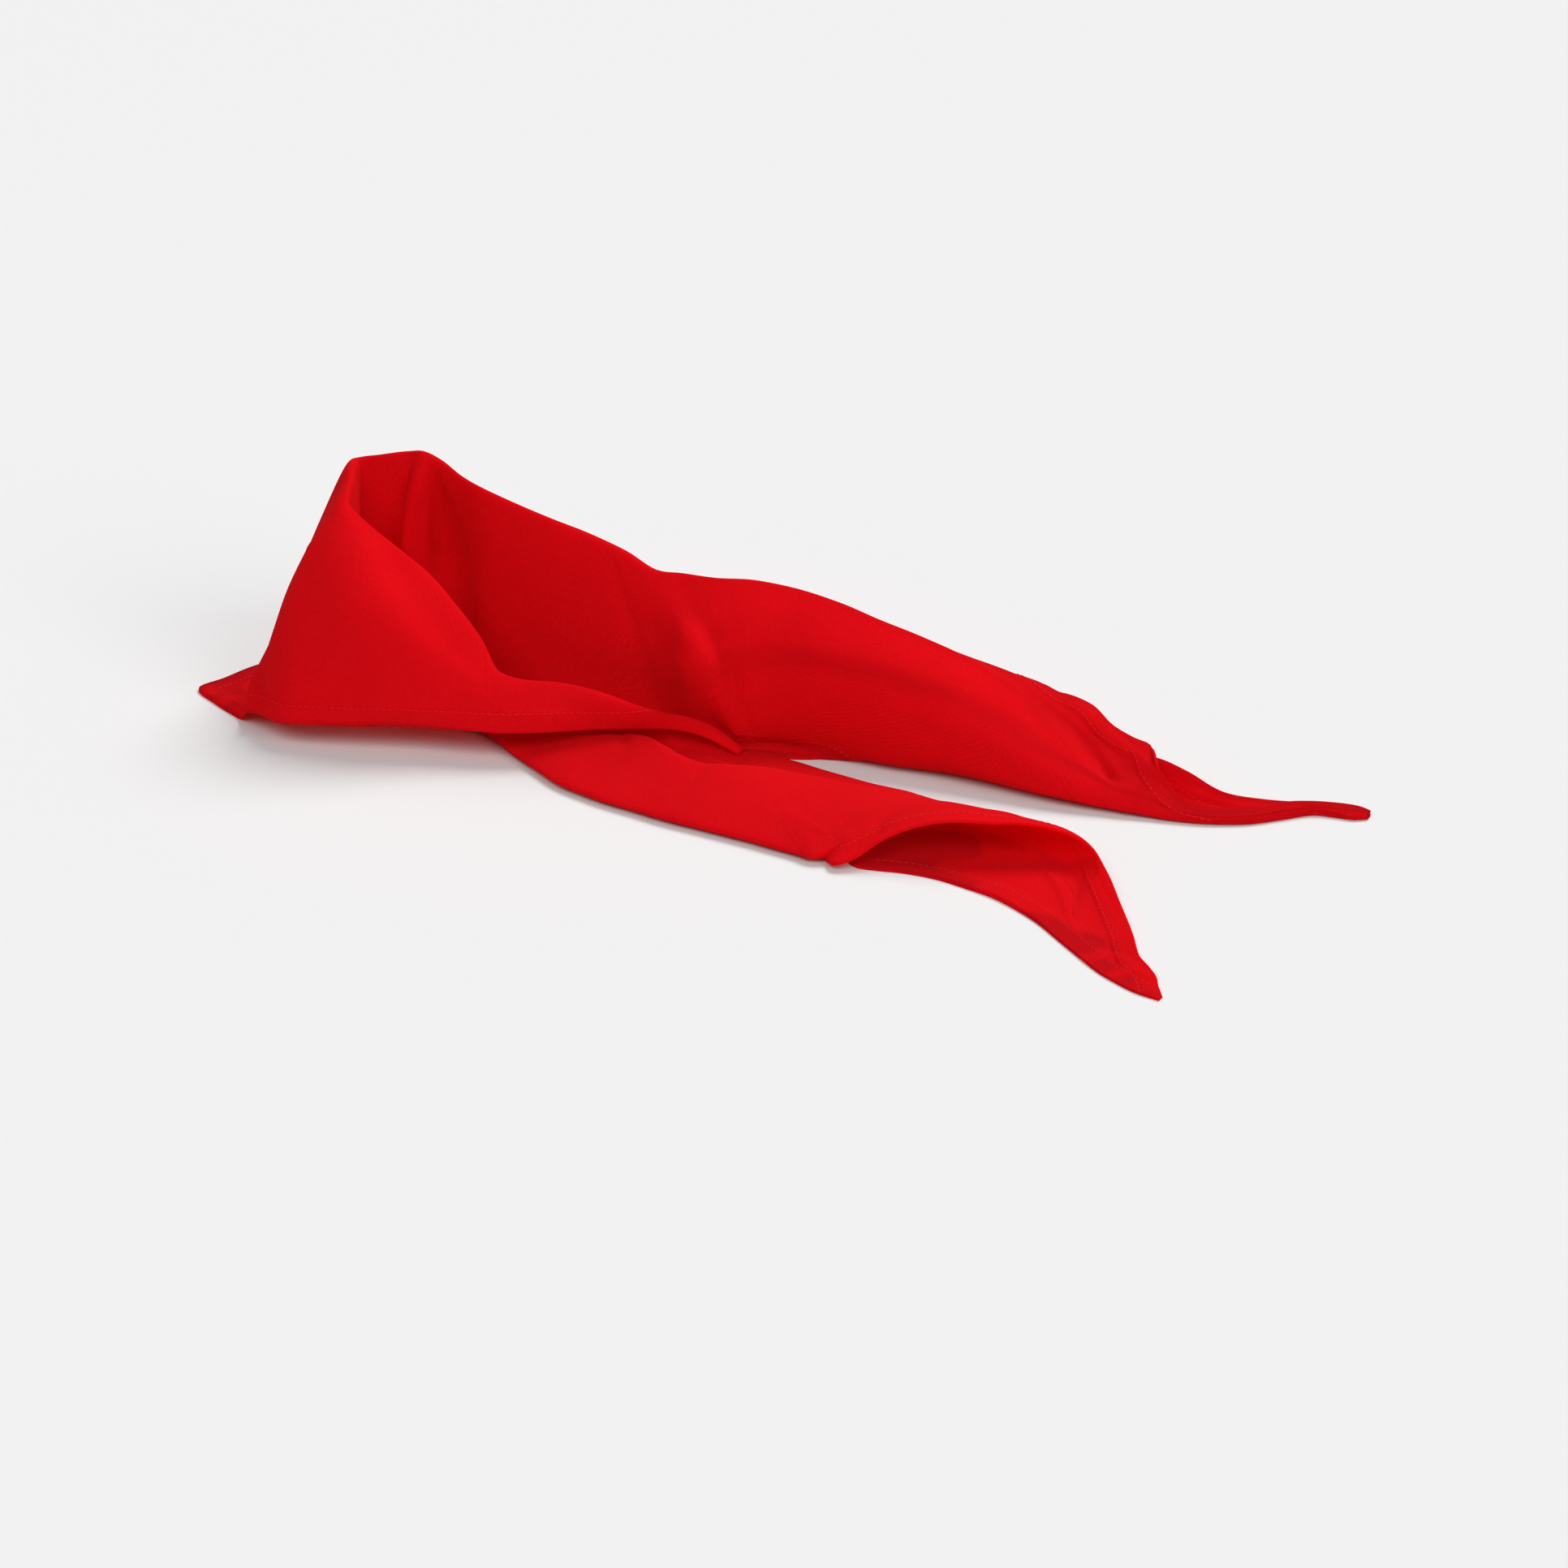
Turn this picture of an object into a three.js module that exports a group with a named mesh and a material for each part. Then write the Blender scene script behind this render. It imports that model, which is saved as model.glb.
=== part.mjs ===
// Triangular neckerchief, lying on its side in the shape it was worn in.
// One sheet of cloth: a folded collar stands at -X, round an open hollow for the neck, and two
// tails run out to +X. The corner of the triangle behind the neck lies flat at the far -X end.
// Millimetres, +Z up, the middle of its underside at the origin.
import * as THREE from "three";

// Driving sizes
const CLOTH = 1.2;
const RESTING = CLOTH / 2;
const CREST_BEND = 1.6;
const SILL_BEND = 1.1;
const BEND_SHARE = 0.3;
const STATION_SPACING = 10;
const PRESSED_FLAT = 0.35;
const TIP_CURL = 5;
const FOLD_DEPTH = 15;
const RED = 0xd8120f;

// A section goes from the hem of one short edge of the triangle to the hem of its long edge.
// On the collar it climbs the outer layer, turns over at the crest and comes down the inner one.
const COLUMNS = ["hem", "bend", "belly", "crest", "inner", "foot", "brow", "face", "sill", "tuck"];
const CREST = COLUMNS.indexOf("crest");
const SILL = COLUMNS.indexOf("sill");
const STEPS = {
  bend: 1, belly: 2, crest_out: 2, crest: 1, crest_in: 1, inner: 3,
  foot: 2, brow: 1, face: 2, sill_in: 2, sill: 1, sill_out: 1, tuck: 1,
};

// Tip of the near tail, one layer: x, then the front and the back edge as [towards the front, up].
// It lies flat and curls up only near the back edge, the more so the higher TIP_CURL is.
const NEAR_TIP = [
  [219, [111, 0.6], [108, 0.8]],
  [209, [109.5, 0.6], [93, 2]],
  [200, [106, 0.6], [84, 2.5]],
  [190, [101, 0.6], [67, 3]],
  [176, [91, 0.6], [46, 4.4]],
  [164, [82, 0.6], [30.5, 8.2]],
];

// Near tail: x, then every column as [towards the front, up]: the outer layer up to the crest, then
// the inner one. The short edge lies underneath and the long edge ends on top, in an arch that
// lifts off the layer below.
const NEAR_TAIL = [
  [152, [73, 0.6], [61, 0.6], [50, 0.6], [40, 0.6],
    [32, 1], [25.5, 3], [21, 5.6], [18.5, 8.4], [18.5, 10.8], [20.5, 12.6]],
  [140, [66, 0.6], [54, 0.6], [42, 0.6], [31, 0.6],
    [22, 1], [15.5, 3.6], [12.5, 7.5], [13, 12], [16, 15], [20, 16.2]],
  [126, [60, 0.6], [46, 0.6], [33, 0.6], [21, 0.8],
    [12, 2], [8, 5.5], [8, 10], [11.5, 14], [18, 17], [26, 19]],
  [112, [57, 0.6], [41, 0.6], [26, 0.6], [12, 1],
    [5, 5], [4, 9], [8, 13], [15, 16], [24, 18.2], [33, 19.3]],
  [98, [55, 0.6], [38, 0.6], [21, 0.6], [7, 1],
    [2, 5], [3, 9], [10, 13], [19, 17], [29, 19], [38, 19]],
  [84, [56, 0.6], [37, 0.6], [18, 0.6], [4, 1],
    [-1, 5], [3, 9], [13, 13], [24, 16], [35, 17], [44, 16]],
  [72, [59, 0.6], [38, 0.6], [17, 0.6], [1, 1],
    [-3, 5], [2, 8], [13, 12], [28, 14], [43, 14], [54, 11]],
  [64, [60, 0.6], [38, 0.6], [16, 0.6], [-1, 1],
    [-5, 4.5], [1, 8], [13, 11], [30, 13], [48, 11], [63, 5.5]],
  [57, [55, 0.6], [36, 0.6], [13, 0.6], [-4, 1],
    [-7, 4.5], [1, 8], [12, 11], [33, 12], [55, 9], [67, 3]],
  [48, [44, 0.6], [30, 0.6], [10, 0.6], [-7, 1],
    [-9, 4], [-1, 7], [11, 11], [40, 11], [65, 4], [58, 0.6]],
  [35, [36, 0.6], [22, 0.6], [5, 0.6], [-10, 1],
    [-10, 4], [-2, 6], [11, 11], [42, 10], [64, 3], [50, 0.6]],
  [15, [23, 0.6], [12, 0.6], [-2, 0.6], [-15, 1],
    [-13, 4], [-2, 6], [13, 12], [42, 10], [62, 3], [36, 0.6]],
  [-5, [9, 0.6], [1, 0.6], [-9, 0.6], [-17, 1],
    [-15, 4], [2, 6], [17, 13], [42, 10], [61, 3], [20, 0.6]],
  [-20, [-3, 0.6], [-8, 0.6], [-13, 1], [-17, 3],
    [-13, 4], [9, 5], [22, 13], [42, 10], [60.5, 3], [6, 0.6]],
];

// Near side of the collar: x, then [towards the front, up]. The outer layer hangs from the crest
// with its hem clear of the floor, and the inner layer comes out under it as the near tail.
const NEAR_COLLAR = [
  [-27, [-9, 5], [-11, 5.4], [-13, 5.2], [-15, 4.2],
    [-12, 3], [12, 4], [25, 13], [43, 10], [60, 3], [4, 0.6]],
  [-41, [-6, 11], [-8, 13], [-11, 14], [-14, 12],
    [-14, 7], [9, 3], [22, 13.5], [42, 9], [58.5, 3], [4, 0.6]],
  [-54, [-2, 14], [-3, 17], [-5, 19], [-7, 17.5],
    [-10, 10], [2, 3.5], [15, 13.5], [38, 9], [57, 3], [4, 0.6]],
  [-68, [5, 15], [6, 18], [6, 22], [4, 24],
    [-3, 15], [-4, 4.5], [7, 12], [33, 9], [54.5, 3], [4, 0.6]],
  [-85, [15, 15], [15, 20], [14, 26], [10, 30],
    [3, 18], [-3, 4], [8, 10], [29, 9], [50, 3], [2, 0.6]],
  [-104, [29, 15], [27, 21], [21, 28], [14, 33],
    [7, 19], [0, 5], [10, 8], [24, 7], [40, 3], [0, 0.6]],
  [-120, [38, 15], [36, 22], [31, 30], [24, 36],
    [12, 21], [2, 5], [8, 6], [17, 5], [31, 3], [0, 0.6]],
  [-129, [41, 15], [39, 23], [33, 33], [26, 39],
    [13, 22], [2, 5], [7, 6], [14, 5], [25, 3], [-2, 0.6]],
  [-140, [44, 15], [42, 24], [34, 38], [20, 49],
    [12, 26], [3, 5], [7, 5.5], [12, 4.5], [18, 3], [-2, 0.6]],
  [-155, [47, 14.5], [46, 26], [35, 45], [17, 62],
    [10, 30], [3, 5.5], [7, 5], [11, 4], [15, 3], [-3, 0.6]],
  [-170, [52, 14], [50, 28], [36, 52], [14, 73],
    [8, 36], [2, 5.5], [6, 5], [10, 4], [14, 3], [-4, 0.6]],
  [-186, [58, 13], [54, 29], [38, 57], [13, 82],
    [6, 40], [1, 5.5], [5, 5], [9, 4], [13, 3], [-6, 0.6]],
  [-202, [63, 12.5], [58, 29], [39, 62], [14, 92],
    [6, 45], [0, 5.5], [4, 5], [8, 4], [12, 3], [-8, 0.6]],
];

// Back of the collar: x and y of the crest, the headings that its outer and its inner layer face,
// in degrees, then [distance along the heading, up].
const BACK_COLLAR = [
  [-214, -11, -94, 86, [56, 11.5], [49, 28], [28, 64], [0, 98.5],
    [5, 50], [8, 6], [7, 5], [6.4, 4], [6, 2.6], [20, 0.6]],
  [-218, -4, -107, 77, [59, 10], [52, 27], [32, 66], [0, 101.5],
    [5, 50], [6, 6], [6, 4.4], [6.3, 2.8], [7, 1.6], [17, 0.6]],
  [-222, 5, -111.5, 55, [65, 6], [55, 24], [34, 64], [0, 103.5],
    [4, 52], [4.4, 6], [4.7, 3.8], [5.2, 2], [6.5, 1], [12, 0.6]],
  [-225, 10, -114, 32, [67, 1], [54, 8], [35, 55], [0, 104.5],
    [3, 53], [4, 6], [4.3, 3.8], [5, 2], [6.4, 1], [11, 0.6]],
  [-228, 15, -128, 10, [72, 0.6], [47.5, 2], [31, 52], [0, 105.5],
    [3, 54], [4, 6], [4.3, 3.8], [5, 2], [6.4, 1], [12, 0.6]],
  [-230, 20, -139, -8, [78, 0.6], [45, 1.2], [29, 50], [0, 105.8],
    [4, 55], [5, 6], [5.3, 3.8], [6, 2], [7.4, 1], [14, 0.6]],
  [-226, 25, -145, -30, [72.5, 0.6], [43, 1.2], [26.5, 50], [0, 106.5],
    [3, 56], [4, 6], [4.3, 3.8], [5, 2], [6.4, 1], [12, 0.6]],
  [-219, 29, -157, -61, [67, 0.6], [41, 1.2], [24, 50], [0, 107.4],
    [3, 56], [3, 6], [3.3, 3.8], [4, 2], [5.4, 1], [10, 0.6]],
  [-210, 34, -180, -92, [52, 0.6], [33, 1.4], [20, 50], [0, 108.7],
    [6, 58], [5, 6], [5.3, 3.8], [6, 2], [7.4, 1], [13, 0.6]],
  [-203, 36, 128, -97, [31, 0.6], [27, 4], [17, 50], [0, 109.4],
    [12, 62], [7, 6], [7.3, 3.8], [8, 2], [9.4, 1], [16, 0.6]],
  [-194, 36, 100, -96, [31, 0.6], [28, 8], [18, 52], [0, 106.8],
    [1, 60], [6, 6], [6.6, 3.8], [8, 2], [10, 1], [19, 0.6]],
  [-182, 33, 92, -96, [33, 0.6], [30, 10], [19, 52], [0, 102.5],
    [-1, 58], [5, 6], [5.6, 3.8], [7, 2], [9, 1], [19, 0.6]],
];

// Far side of the collar and far tail: x, then [towards the back, up]. The tail is a soft roll
// whose two edges meet along its back, climb over the crest and come down its front to the tip.
const FAR_SIDE = [
  [-168, [63, 0.6], [60, 10], [46, 50], [29, 100],
    [27, 55], [22, 7], [21, 4], [20, 2], [18, 1], [12, 0.6]],
  [-150, [63, 0.6], [60, 10], [46, 48], [28, 95.6],
    [25, 52], [20, 7], [19, 4], [18, 2], [16, 1], [10, 0.6]],
  [-130, [63, 0.6], [60, 10], [44, 46], [27, 91.6],
    [24, 50], [18, 7], [17, 4], [16, 2], [14, 1], [8, 0.6]],
  [-112, [63, 0.6], [60, 10], [45, 44], [29, 86.6],
    [24, 47], [18, 7], [17, 4], [16, 2], [14, 1], [9, 0.6]],
  [-95, [64, 0.6], [61, 10], [46, 42], [30, 81.5],
    [24, 43], [18, 7], [17, 4], [16, 2], [14, 1], [10, 0.6]],
  [-80, [65, 0.6], [62, 10], [48, 40], [31, 75],
    [24, 40], [20, 7], [19, 4], [18, 2], [16, 1], [12, 0.6]],
  [-68, [67, 0.6], [64, 10], [51, 38], [34, 75],
    [21, 40], [21, 7], [20, 4], [19, 2], [17, 1], [14, 0.6]],
  [-52, [71, 0.6], [68, 10], [56, 38], [37, 74.5],
    [15, 44], [18, 9], [19, 5], [19, 2.4], [18, 1], [15, 0.6]],
  [-36, [76, 0.6], [73, 10], [62, 38], [43, 74],
    [24, 52], [20, 18], [21, 7], [22, 3], [20.5, 1.2], [17, 0.6]],
  [-20, [81, 0.6], [79, 10], [70, 38], [51, 70],
    [31, 52], [25, 25], [25, 10], [29, 4], [26, 1.4], [20.5, 0.6]],
  [0, [84, 4], [82, 14], [72, 40], [54, 66],
    [35, 52], [28, 32], [28, 12], [31, 4.6], [30, 1.6], [28, 0.6]],
  [18, [86, 9], [84, 18], [74, 40], [57, 60],
    [39, 49], [31, 33], [28.5, 15], [31, 5], [35, 1.4], [42, 0.6]],
  [36, [87, 16], [83, 26], [75, 41], [61, 54],
    [43, 46], [33, 31], [29.5, 15], [32, 4.5], [46, 0.9], [72, 0.6]],
  [54, [87, 24], [82, 32], [75, 41], [63, 48],
    [46, 42], [35, 28], [30, 13], [34.5, 4], [54, 0.6], [84, 2]],
  [70, [86, 28], [81, 34], [74, 39.5], [65, 41],
    [48, 36], [36, 25], [30, 11.5], [36, 3.6], [60, 0.6], [90, 5]],
  [86, [80, 33], [76, 35.5], [70, 36.5], [62, 35.5],
    [49, 30.5], [36, 21], [30.5, 10], [36.5, 3.2], [64, 0.6], [90, 14]],
  [100, [77, 32], [71, 32], [64, 30.5], [56, 27.5],
    [46, 23.5], [35.5, 16.5], [31, 8.5], [36.5, 3], [64, 0.8], [78, 25]],
  [113, [76, 29.5], [70, 28], [62, 25], [54, 21.5],
    [45, 18], [36, 13.5], [31.5, 7], [37.5, 2.6], [60, 2], [75, 23.5]],
  [126, [69, 25.5], [64, 22.5], [58, 19.8], [51, 17],
    [44, 14.5], [37, 11], [33, 5.6], [39, 2.2], [58, 3], [69, 20]],
  [137, [66.5, 23], [60, 19], [53.5, 16], [47, 13],
    [42, 11], [38, 8.5], [35, 4.4], [40.5, 1.8], [57, 3], [66, 18]],
  [145, [65, 22], [57.5, 18], [52, 14.5], [46.5, 11.5],
    [42.5, 9.8], [39, 7.4], [36, 3.8], [42, 1.4], [56.5, 3.5], [64.5, 17.5]],
  [152, [56, 18], [53, 15], [49.5, 12], [46, 10],
    [43, 8.5], [40, 6.2], [37.5, 3], [43, 1.2], [56, 4], [63, 17.5]],
  [165, [50, 8.5], [48.5, 7], [46.5, 6], [44.5, 5.4],
    [43, 5], [41.5, 4], [40, 2], [44.5, 0.8], [56, 5], [61, 15]],
  [180, [53, 5], [51, 4.6], [49, 4.4], [47.5, 4],
    [46, 3.6], [45, 2.8], [44.5, 1.6], [48, 0.6], [58, 3], [62, 8.6]],
  [195, [61, 5], [59, 5], [57, 4.8], [55.5, 4.4],
    [54, 3.8], [53, 2.8], [52.5, 1.4], [55, 0.6], [64, 1.6], [71.5, 4]],
  [207, [72, 5], [70.5, 5.2], [69, 5.2], [67.5, 4.8],
    [66, 4], [65, 2.8], [64.5, 1.4], [66.5, 0.6], [73, 1.4], [78.5, 2.4]],
  [217, [79, 4], [78.3, 4.4], [77.3, 4.5], [76.3, 4.3],
    [75.4, 3.7], [74.7, 2.8], [74.5, 1.6], [75.5, 0.7], [79, 1], [83, 1.8]],
  [227, [84.5, 3], [83.3, 3.3], [82, 3.4], [80.5, 3.3],
    [79, 3], [77.5, 2.4], [76.5, 1.3], [77.5, 0.6], [82, 0.6], [87.5, 1.4]],
  [234, [86, 2.5], [85, 2.7], [84, 2.8], [82.5, 2.7],
    [81, 2.6], [79, 2.3], [77.3, 1.4], [79, 0.6], [83, 0.6], [87.5, 0.9]],
  [239, [84.5, 2.2], [84, 2.3], [83.4, 2.3], [82.8, 2.2],
    [82.2, 2.3], [81.6, 2], [81, 1.3], [81.8, 0.6], [83.2, 0.6], [85, 0.6]],
];

// Folds pressed into the cloth: the two steps across the cloth that each lies between, its path,
// and then, evenly along the path, how far it rises and how far it spreads to the left and to the
// right of it. Below zero it is a groove.
const FOLDS = [
  {
    name: "ridge inside the neck", between: ["crest_in", "foot"], rises: [1, 3, 3.5, 3],
    left: [6, 7], right: [8, 7],
    path: [[-202, 34, 107], [-204, 29, 96], [-207, 25, 78], [-209, 23, 62], [-209, 21, 44]],
  },
  {
    name: "groove inside the neck", between: ["crest_in", "foot"], rises: [-0.5, -3, -4.5, -4.5, -2],
    left: [4, 8, 14, 18, 20], right: [4, 6, 7, 8, 8],
    path: [[-198, 35, 105], [-196, 34, 95], [-194, 33, 84], [-193, 32, 68], [-190, 31, 52],
      [-184, 30, 36]],
  },
  {
    name: "shoulder of the near collar", between: ["hem", "crest_out"], rises: [1, 3, 4, 3.5, 2.5, 1],
    left: [9, 13, 16, 16, 13, 10], right: [24, 30, 34, 32, 26, 18],
    path: [[-214, -12, 96], [-203, -20, 82], [-190, -29, 66], [-176, -34, 54], [-158, -37, 44],
      [-138, -36, 35]],
  },
  {
    name: "pleat across the far side", between: ["crest_in", "brow"],
    rises: [0.5, 2, 3.5, 5, 5.5, 5, 4, 2],
    left: [16, 12, 9, 7, 6, 6, 6, 5], right: [16, 20, 24, 26, 24, 18, 12, 6],
    path: [[-80, 30, 72], [-72, 26, 64], [-62, 21, 58], [-52, 19, 52], [-45, 18, 43], [-41, 18, 32],
      [-37, 19, 20], [-32, 21, 9]],
  },
  {
    name: "pressed line on the far side", between: ["crest_in", "foot"], rises: [-0.8, -1.2, -0.6],
    left: [3, 3], right: [9, 9], path: [[-100, 28, 80], [-92, 26, 60], [-82, 23, 37], [-73, 22, 15]],
  },
  {
    name: "first fold of the far tail", between: ["hem", "inner"], rises: [-0.5, -1.6, -1.6],
    left: [5, 6], right: [9, 9], path: [[90, 63, 34], [110, 59, 27], [120, 55, 21], [133, 45, 13]],
  },
  {
    name: "second fold of the far tail", between: ["hem", "inner"], rises: [0.6, 1.5, 1],
    left: [4, 4], right: [7, 7],
    path: [[101, 75, 31], [112, 70, 28], [126, 64, 23], [140, 59, 19], [150, 54, 16]],
  },
];

const TOWARDS_FRONT = -90;
const TOWARDS_BACK = 90;

function spreadTip([x, front, back]) {
  const last = COLUMNS.length - 1;
  const points = COLUMNS.map((name, i) => {
    const share = i / last;
    return [
      THREE.MathUtils.lerp(front[0], back[0], share),
      THREE.MathUtils.lerp(front[1], back[1], share ** TIP_CURL),
    ];
  });
  return [x, ...points];
}

function facing(heading, [x, ...points]) {
  return [x, 0, heading, heading, ...points];
}

function sectionPoints([x, y, outward, inward, ...points]) {
  return points.map(([reach, height], i) => {
    const heading = THREE.MathUtils.degToRad(i <= CREST ? outward : inward);
    return new THREE.Vector3(x + reach * Math.cos(heading), y + reach * Math.sin(heading), height);
  });
}

// Puts a point on either side of one point, so that the cloth turns over there in a round bend
// that takes no more than BEND_SHARE of the way to the next point.
function addBend(points, i, radius) {
  const [before, fold, after] = [points[i - 1], points[i], points[i + 1]];
  const room = BEND_SHARE * Math.min(fold.distanceTo(before), fold.distanceTo(after));
  const reach = Math.min(radius, room);
  const back = before.clone().sub(fold).normalize();
  const ahead = after.clone().sub(fold).normalize();
  const along = back.clone().add(ahead).multiplyScalar(0.5);
  const apart = back.clone().sub(ahead).normalize();
  const first = fold.clone().addScaledVector(along, reach).addScaledVector(apart, reach);
  const second = fold.clone().addScaledVector(along, reach).addScaledVector(apart, -reach);
  return [...points.slice(0, i), first, fold, second, ...points.slice(i + 1)];
}

function smooth(points, stepsOfSpan) {
  const curve = new THREE.CatmullRomCurve3(points, false, "centripetal");
  const spans = points.length - 1;
  const line = [];
  for (let span = 0; span < spans; span += 1) {
    for (let step = 0; step < stepsOfSpan[span]; step += 1) {
      line.push(curve.getPoint((span + step / stepsOfSpan[span]) / spans));
    }
  }
  line.push(points[spans].clone());
  return line;
}

function column(rows, i) {
  return rows.map((row) => row[i]);
}

function transpose(rows) {
  return rows[0].map((_, i) => column(rows, i));
}

// Stations along the cloth, closer where the sections are close.
function stationSteps(rows) {
  return rows.slice(1).map((row, i) => {
    const widest = Math.max(...row.map((point, j) => point.distanceTo(rows[i][j])));
    return Math.max(1, Math.round(widest / STATION_SPACING));
  });
}

// The hem's layer is slit where the collar's strip ends on the tail, so its columns are smoothed
// on either side of the slit by themselves.
function loft(tail, rest) {
  const rows = [...tail, ...rest];
  const steps = stationSteps(rows);
  const total = (from, to) => steps.slice(from, to).reduce((sum, count) => sum + count, 0);
  const slit = { from: total(0, tail.length - 1), to: total(0, tail.length) };
  const lines = rows[0].map((_, i) => {
    const whole = smooth(column(rows, i), steps);
    if (i >= CREST + 1) {
      return whole;
    }
    const tailLine = smooth(column(tail, i), steps.slice(0, tail.length - 1));
    const restLine = smooth(column(rest, i), steps.slice(tail.length));
    return [...tailLine, ...whole.slice(slit.from + 1, slit.to), ...restLine];
  });
  return { stations: transpose(lines), slit };
}

function refineAcross(stations) {
  const across = Object.values(STEPS);
  return stations.map((station) => smooth(station, across));
}

// Where a column lies among the steps across the cloth.
function stepOf(name) {
  const names = Object.keys(STEPS);
  return names.slice(0, names.indexOf(name) + 1).reduce((sum, each) => sum + STEPS[each], 0);
}

function sheetFaces(stations, slit, slitWidth) {
  const width = stations[0].length;
  const faces = [];
  for (let i = 0; i < stations.length - 1; i += 1) {
    for (let j = 0; j < width - 1; j += 1) {
      const inSlit = i >= slit.from && i < slit.to && j < slitWidth;
      if (!inSlit) {
        const a = i * width + j;
        const b = a + 1;
        const c = b + width;
        const d = a + width;
        faces.push([a, b, c], [a, c, d]);
      }
    }
  }
  return faces;
}

function vertexNormals(points, faces) {
  const normals = points.map(() => new THREE.Vector3());
  const edge = new THREE.Vector3();
  const normal = new THREE.Vector3();
  for (const face of faces) {
    const [a, b, c] = face.map((i) => points[i]);
    normal.subVectors(b, a).cross(edge.subVectors(c, a));
    face.forEach((i) => normals[i].add(normal));
  }
  normals.forEach((each) => each.normalize());
  return normals;
}

// Where a point lies beside a path, as seen along the sheet's normal there. A path further than
// FOLD_DEPTH above or below the sheet belongs to another wall.
function besidePath(point, normal, path) {
  const segment = new THREE.Line3();
  const gap = new THREE.Vector3();
  const ahead = new THREE.Vector3();
  let nearest = { distance: Infinity, onLeft: false, along: 0 };
  for (let i = 0; i < path.length - 1; i += 1) {
    segment.set(path[i], path[i + 1]);
    const share = segment.closestPointToPointParameter(point, true);
    segment.at(share, gap).sub(point);
    const depth = Math.abs(gap.dot(normal));
    gap.projectOnPlane(normal);
    if (depth < FOLD_DEPTH && gap.length() < nearest.distance) {
      segment.delta(ahead).cross(normal);
      nearest = {
        distance: gap.length(),
        onLeft: gap.dot(ahead) > 0,
        along: (i + share) / (path.length - 1),
      };
    }
  }
  return nearest;
}

// The value at a share of the way through a list of values spaced evenly.
function valueAlong(values, share) {
  const place = share * (values.length - 1);
  const i = Math.min(Math.floor(place), values.length - 2);
  return THREE.MathUtils.lerp(values[i], values[i + 1], place - i);
}

function pressFolds(points, faces, width) {
  const normals = vertexNormals(points, faces);
  for (const { between, rises, left, right, path } of FOLDS) {
    const [first, last] = between.map(stepOf);
    const route = path.map((at) => new THREE.Vector3(...at));
    points.forEach((point, i) => {
      const step = i % width;
      if (step > first && step < last) {
        const { distance, onLeft, along } = besidePath(point, normals[i], route);
        const share = Math.max(0, 1 - distance / valueAlong(onLeft ? left : right, along));
        const rise = valueAlong(rises, along) * THREE.MathUtils.smootherstep(share, 0, 1);
        point.addScaledVector(normals[i], rise);
      }
    });
  }
}

// Closes the sheet into a wall: both faces, and a rim along every edge used by one triangle only.
function thicken(points, faces) {
  const normals = vertexNormals(points, faces);
  const half = CLOTH / 2;
  const layer = (sign) => points.map((point, i) => {
    const moved = point.clone().addScaledVector(normals[i], sign * half);
    moved.z = moved.z < PRESSED_FLAT ? 0 : moved.z;
    return moved;
  });
  const count = points.length;
  const open = new Map();
  for (const [a, b, c] of faces) {
    for (const [from, to] of [[a, b], [b, c], [c, a]]) {
      const back = `${to},${from}`;
      if (open.has(back)) {
        open.delete(back);
      } else {
        open.set(`${from},${to}`, [from, to]);
      }
    }
  }
  const upper = faces;
  const lower = faces.map(([a, b, c]) => [a + count, c + count, b + count]);
  const rim = [...open.values()].flatMap(([from, to]) => [
    [from, from + count, to + count],
    [from, to + count, to],
  ]);
  return { points: [...layer(1), ...layer(-1)], faces: [...upper, ...lower, ...rim] };
}

function toGeometry({ points, faces }) {
  const used = [...new Set(faces.flat())];
  const place = new Map(used.map((old, i) => [old, i]));
  const geometry = new THREE.BufferGeometry();
  geometry.setAttribute(
    "position",
    new THREE.Float32BufferAttribute(used.flatMap((i) => points[i].toArray()), 3),
  );
  geometry.setIndex(faces.flat().map((i) => place.get(i)));
  geometry.computeVertexNormals();
  return geometry;
}

function centreOnFloor(geometry) {
  geometry.computeBoundingBox();
  const box = geometry.boundingBox;
  const middle = box.getCenter(new THREE.Vector3());
  geometry.translate(-middle.x, -middle.y, -box.min.z);
  return geometry;
}

function makeCloth() {
  const tail = [
    ...NEAR_TIP.map((row) => facing(TOWARDS_FRONT, spreadTip(row))),
    ...NEAR_TAIL.map((row) => facing(TOWARDS_FRONT, row)),
  ];
  const rest = [
    ...NEAR_COLLAR.map((row) => facing(TOWARDS_FRONT, row)),
    ...BACK_COLLAR,
    ...FAR_SIDE.map((row) => facing(TOWARDS_BACK, row)),
  ];
  const shaped = (row) => addBend(addBend(sectionPoints(row), SILL, SILL_BEND), CREST, CREST_BEND);
  const { stations, slit } = loft(tail.map(shaped), rest.map(shaped));
  const fine = refineAcross(stations);
  const faces = sheetFaces(fine, slit, stepOf("crest"));
  const points = fine.flat();
  pressFolds(points, faces, fine[0].length);
  points.forEach((point) => {
    point.z = Math.max(point.z, RESTING);
  });
  return centreOnFloor(toGeometry(thicken(points, faces)));
}

const cloth = new THREE.MeshStandardMaterial({ color: RED, roughness: 0.85, metalness: 0 });
const scarf = new THREE.Mesh(makeCloth(), cloth);
scarf.name = "scarf";

const part = new THREE.Group();
part.add(scarf);

export default part;
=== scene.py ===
import math

import bpy
import numpy as np
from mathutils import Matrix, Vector, noise


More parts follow.
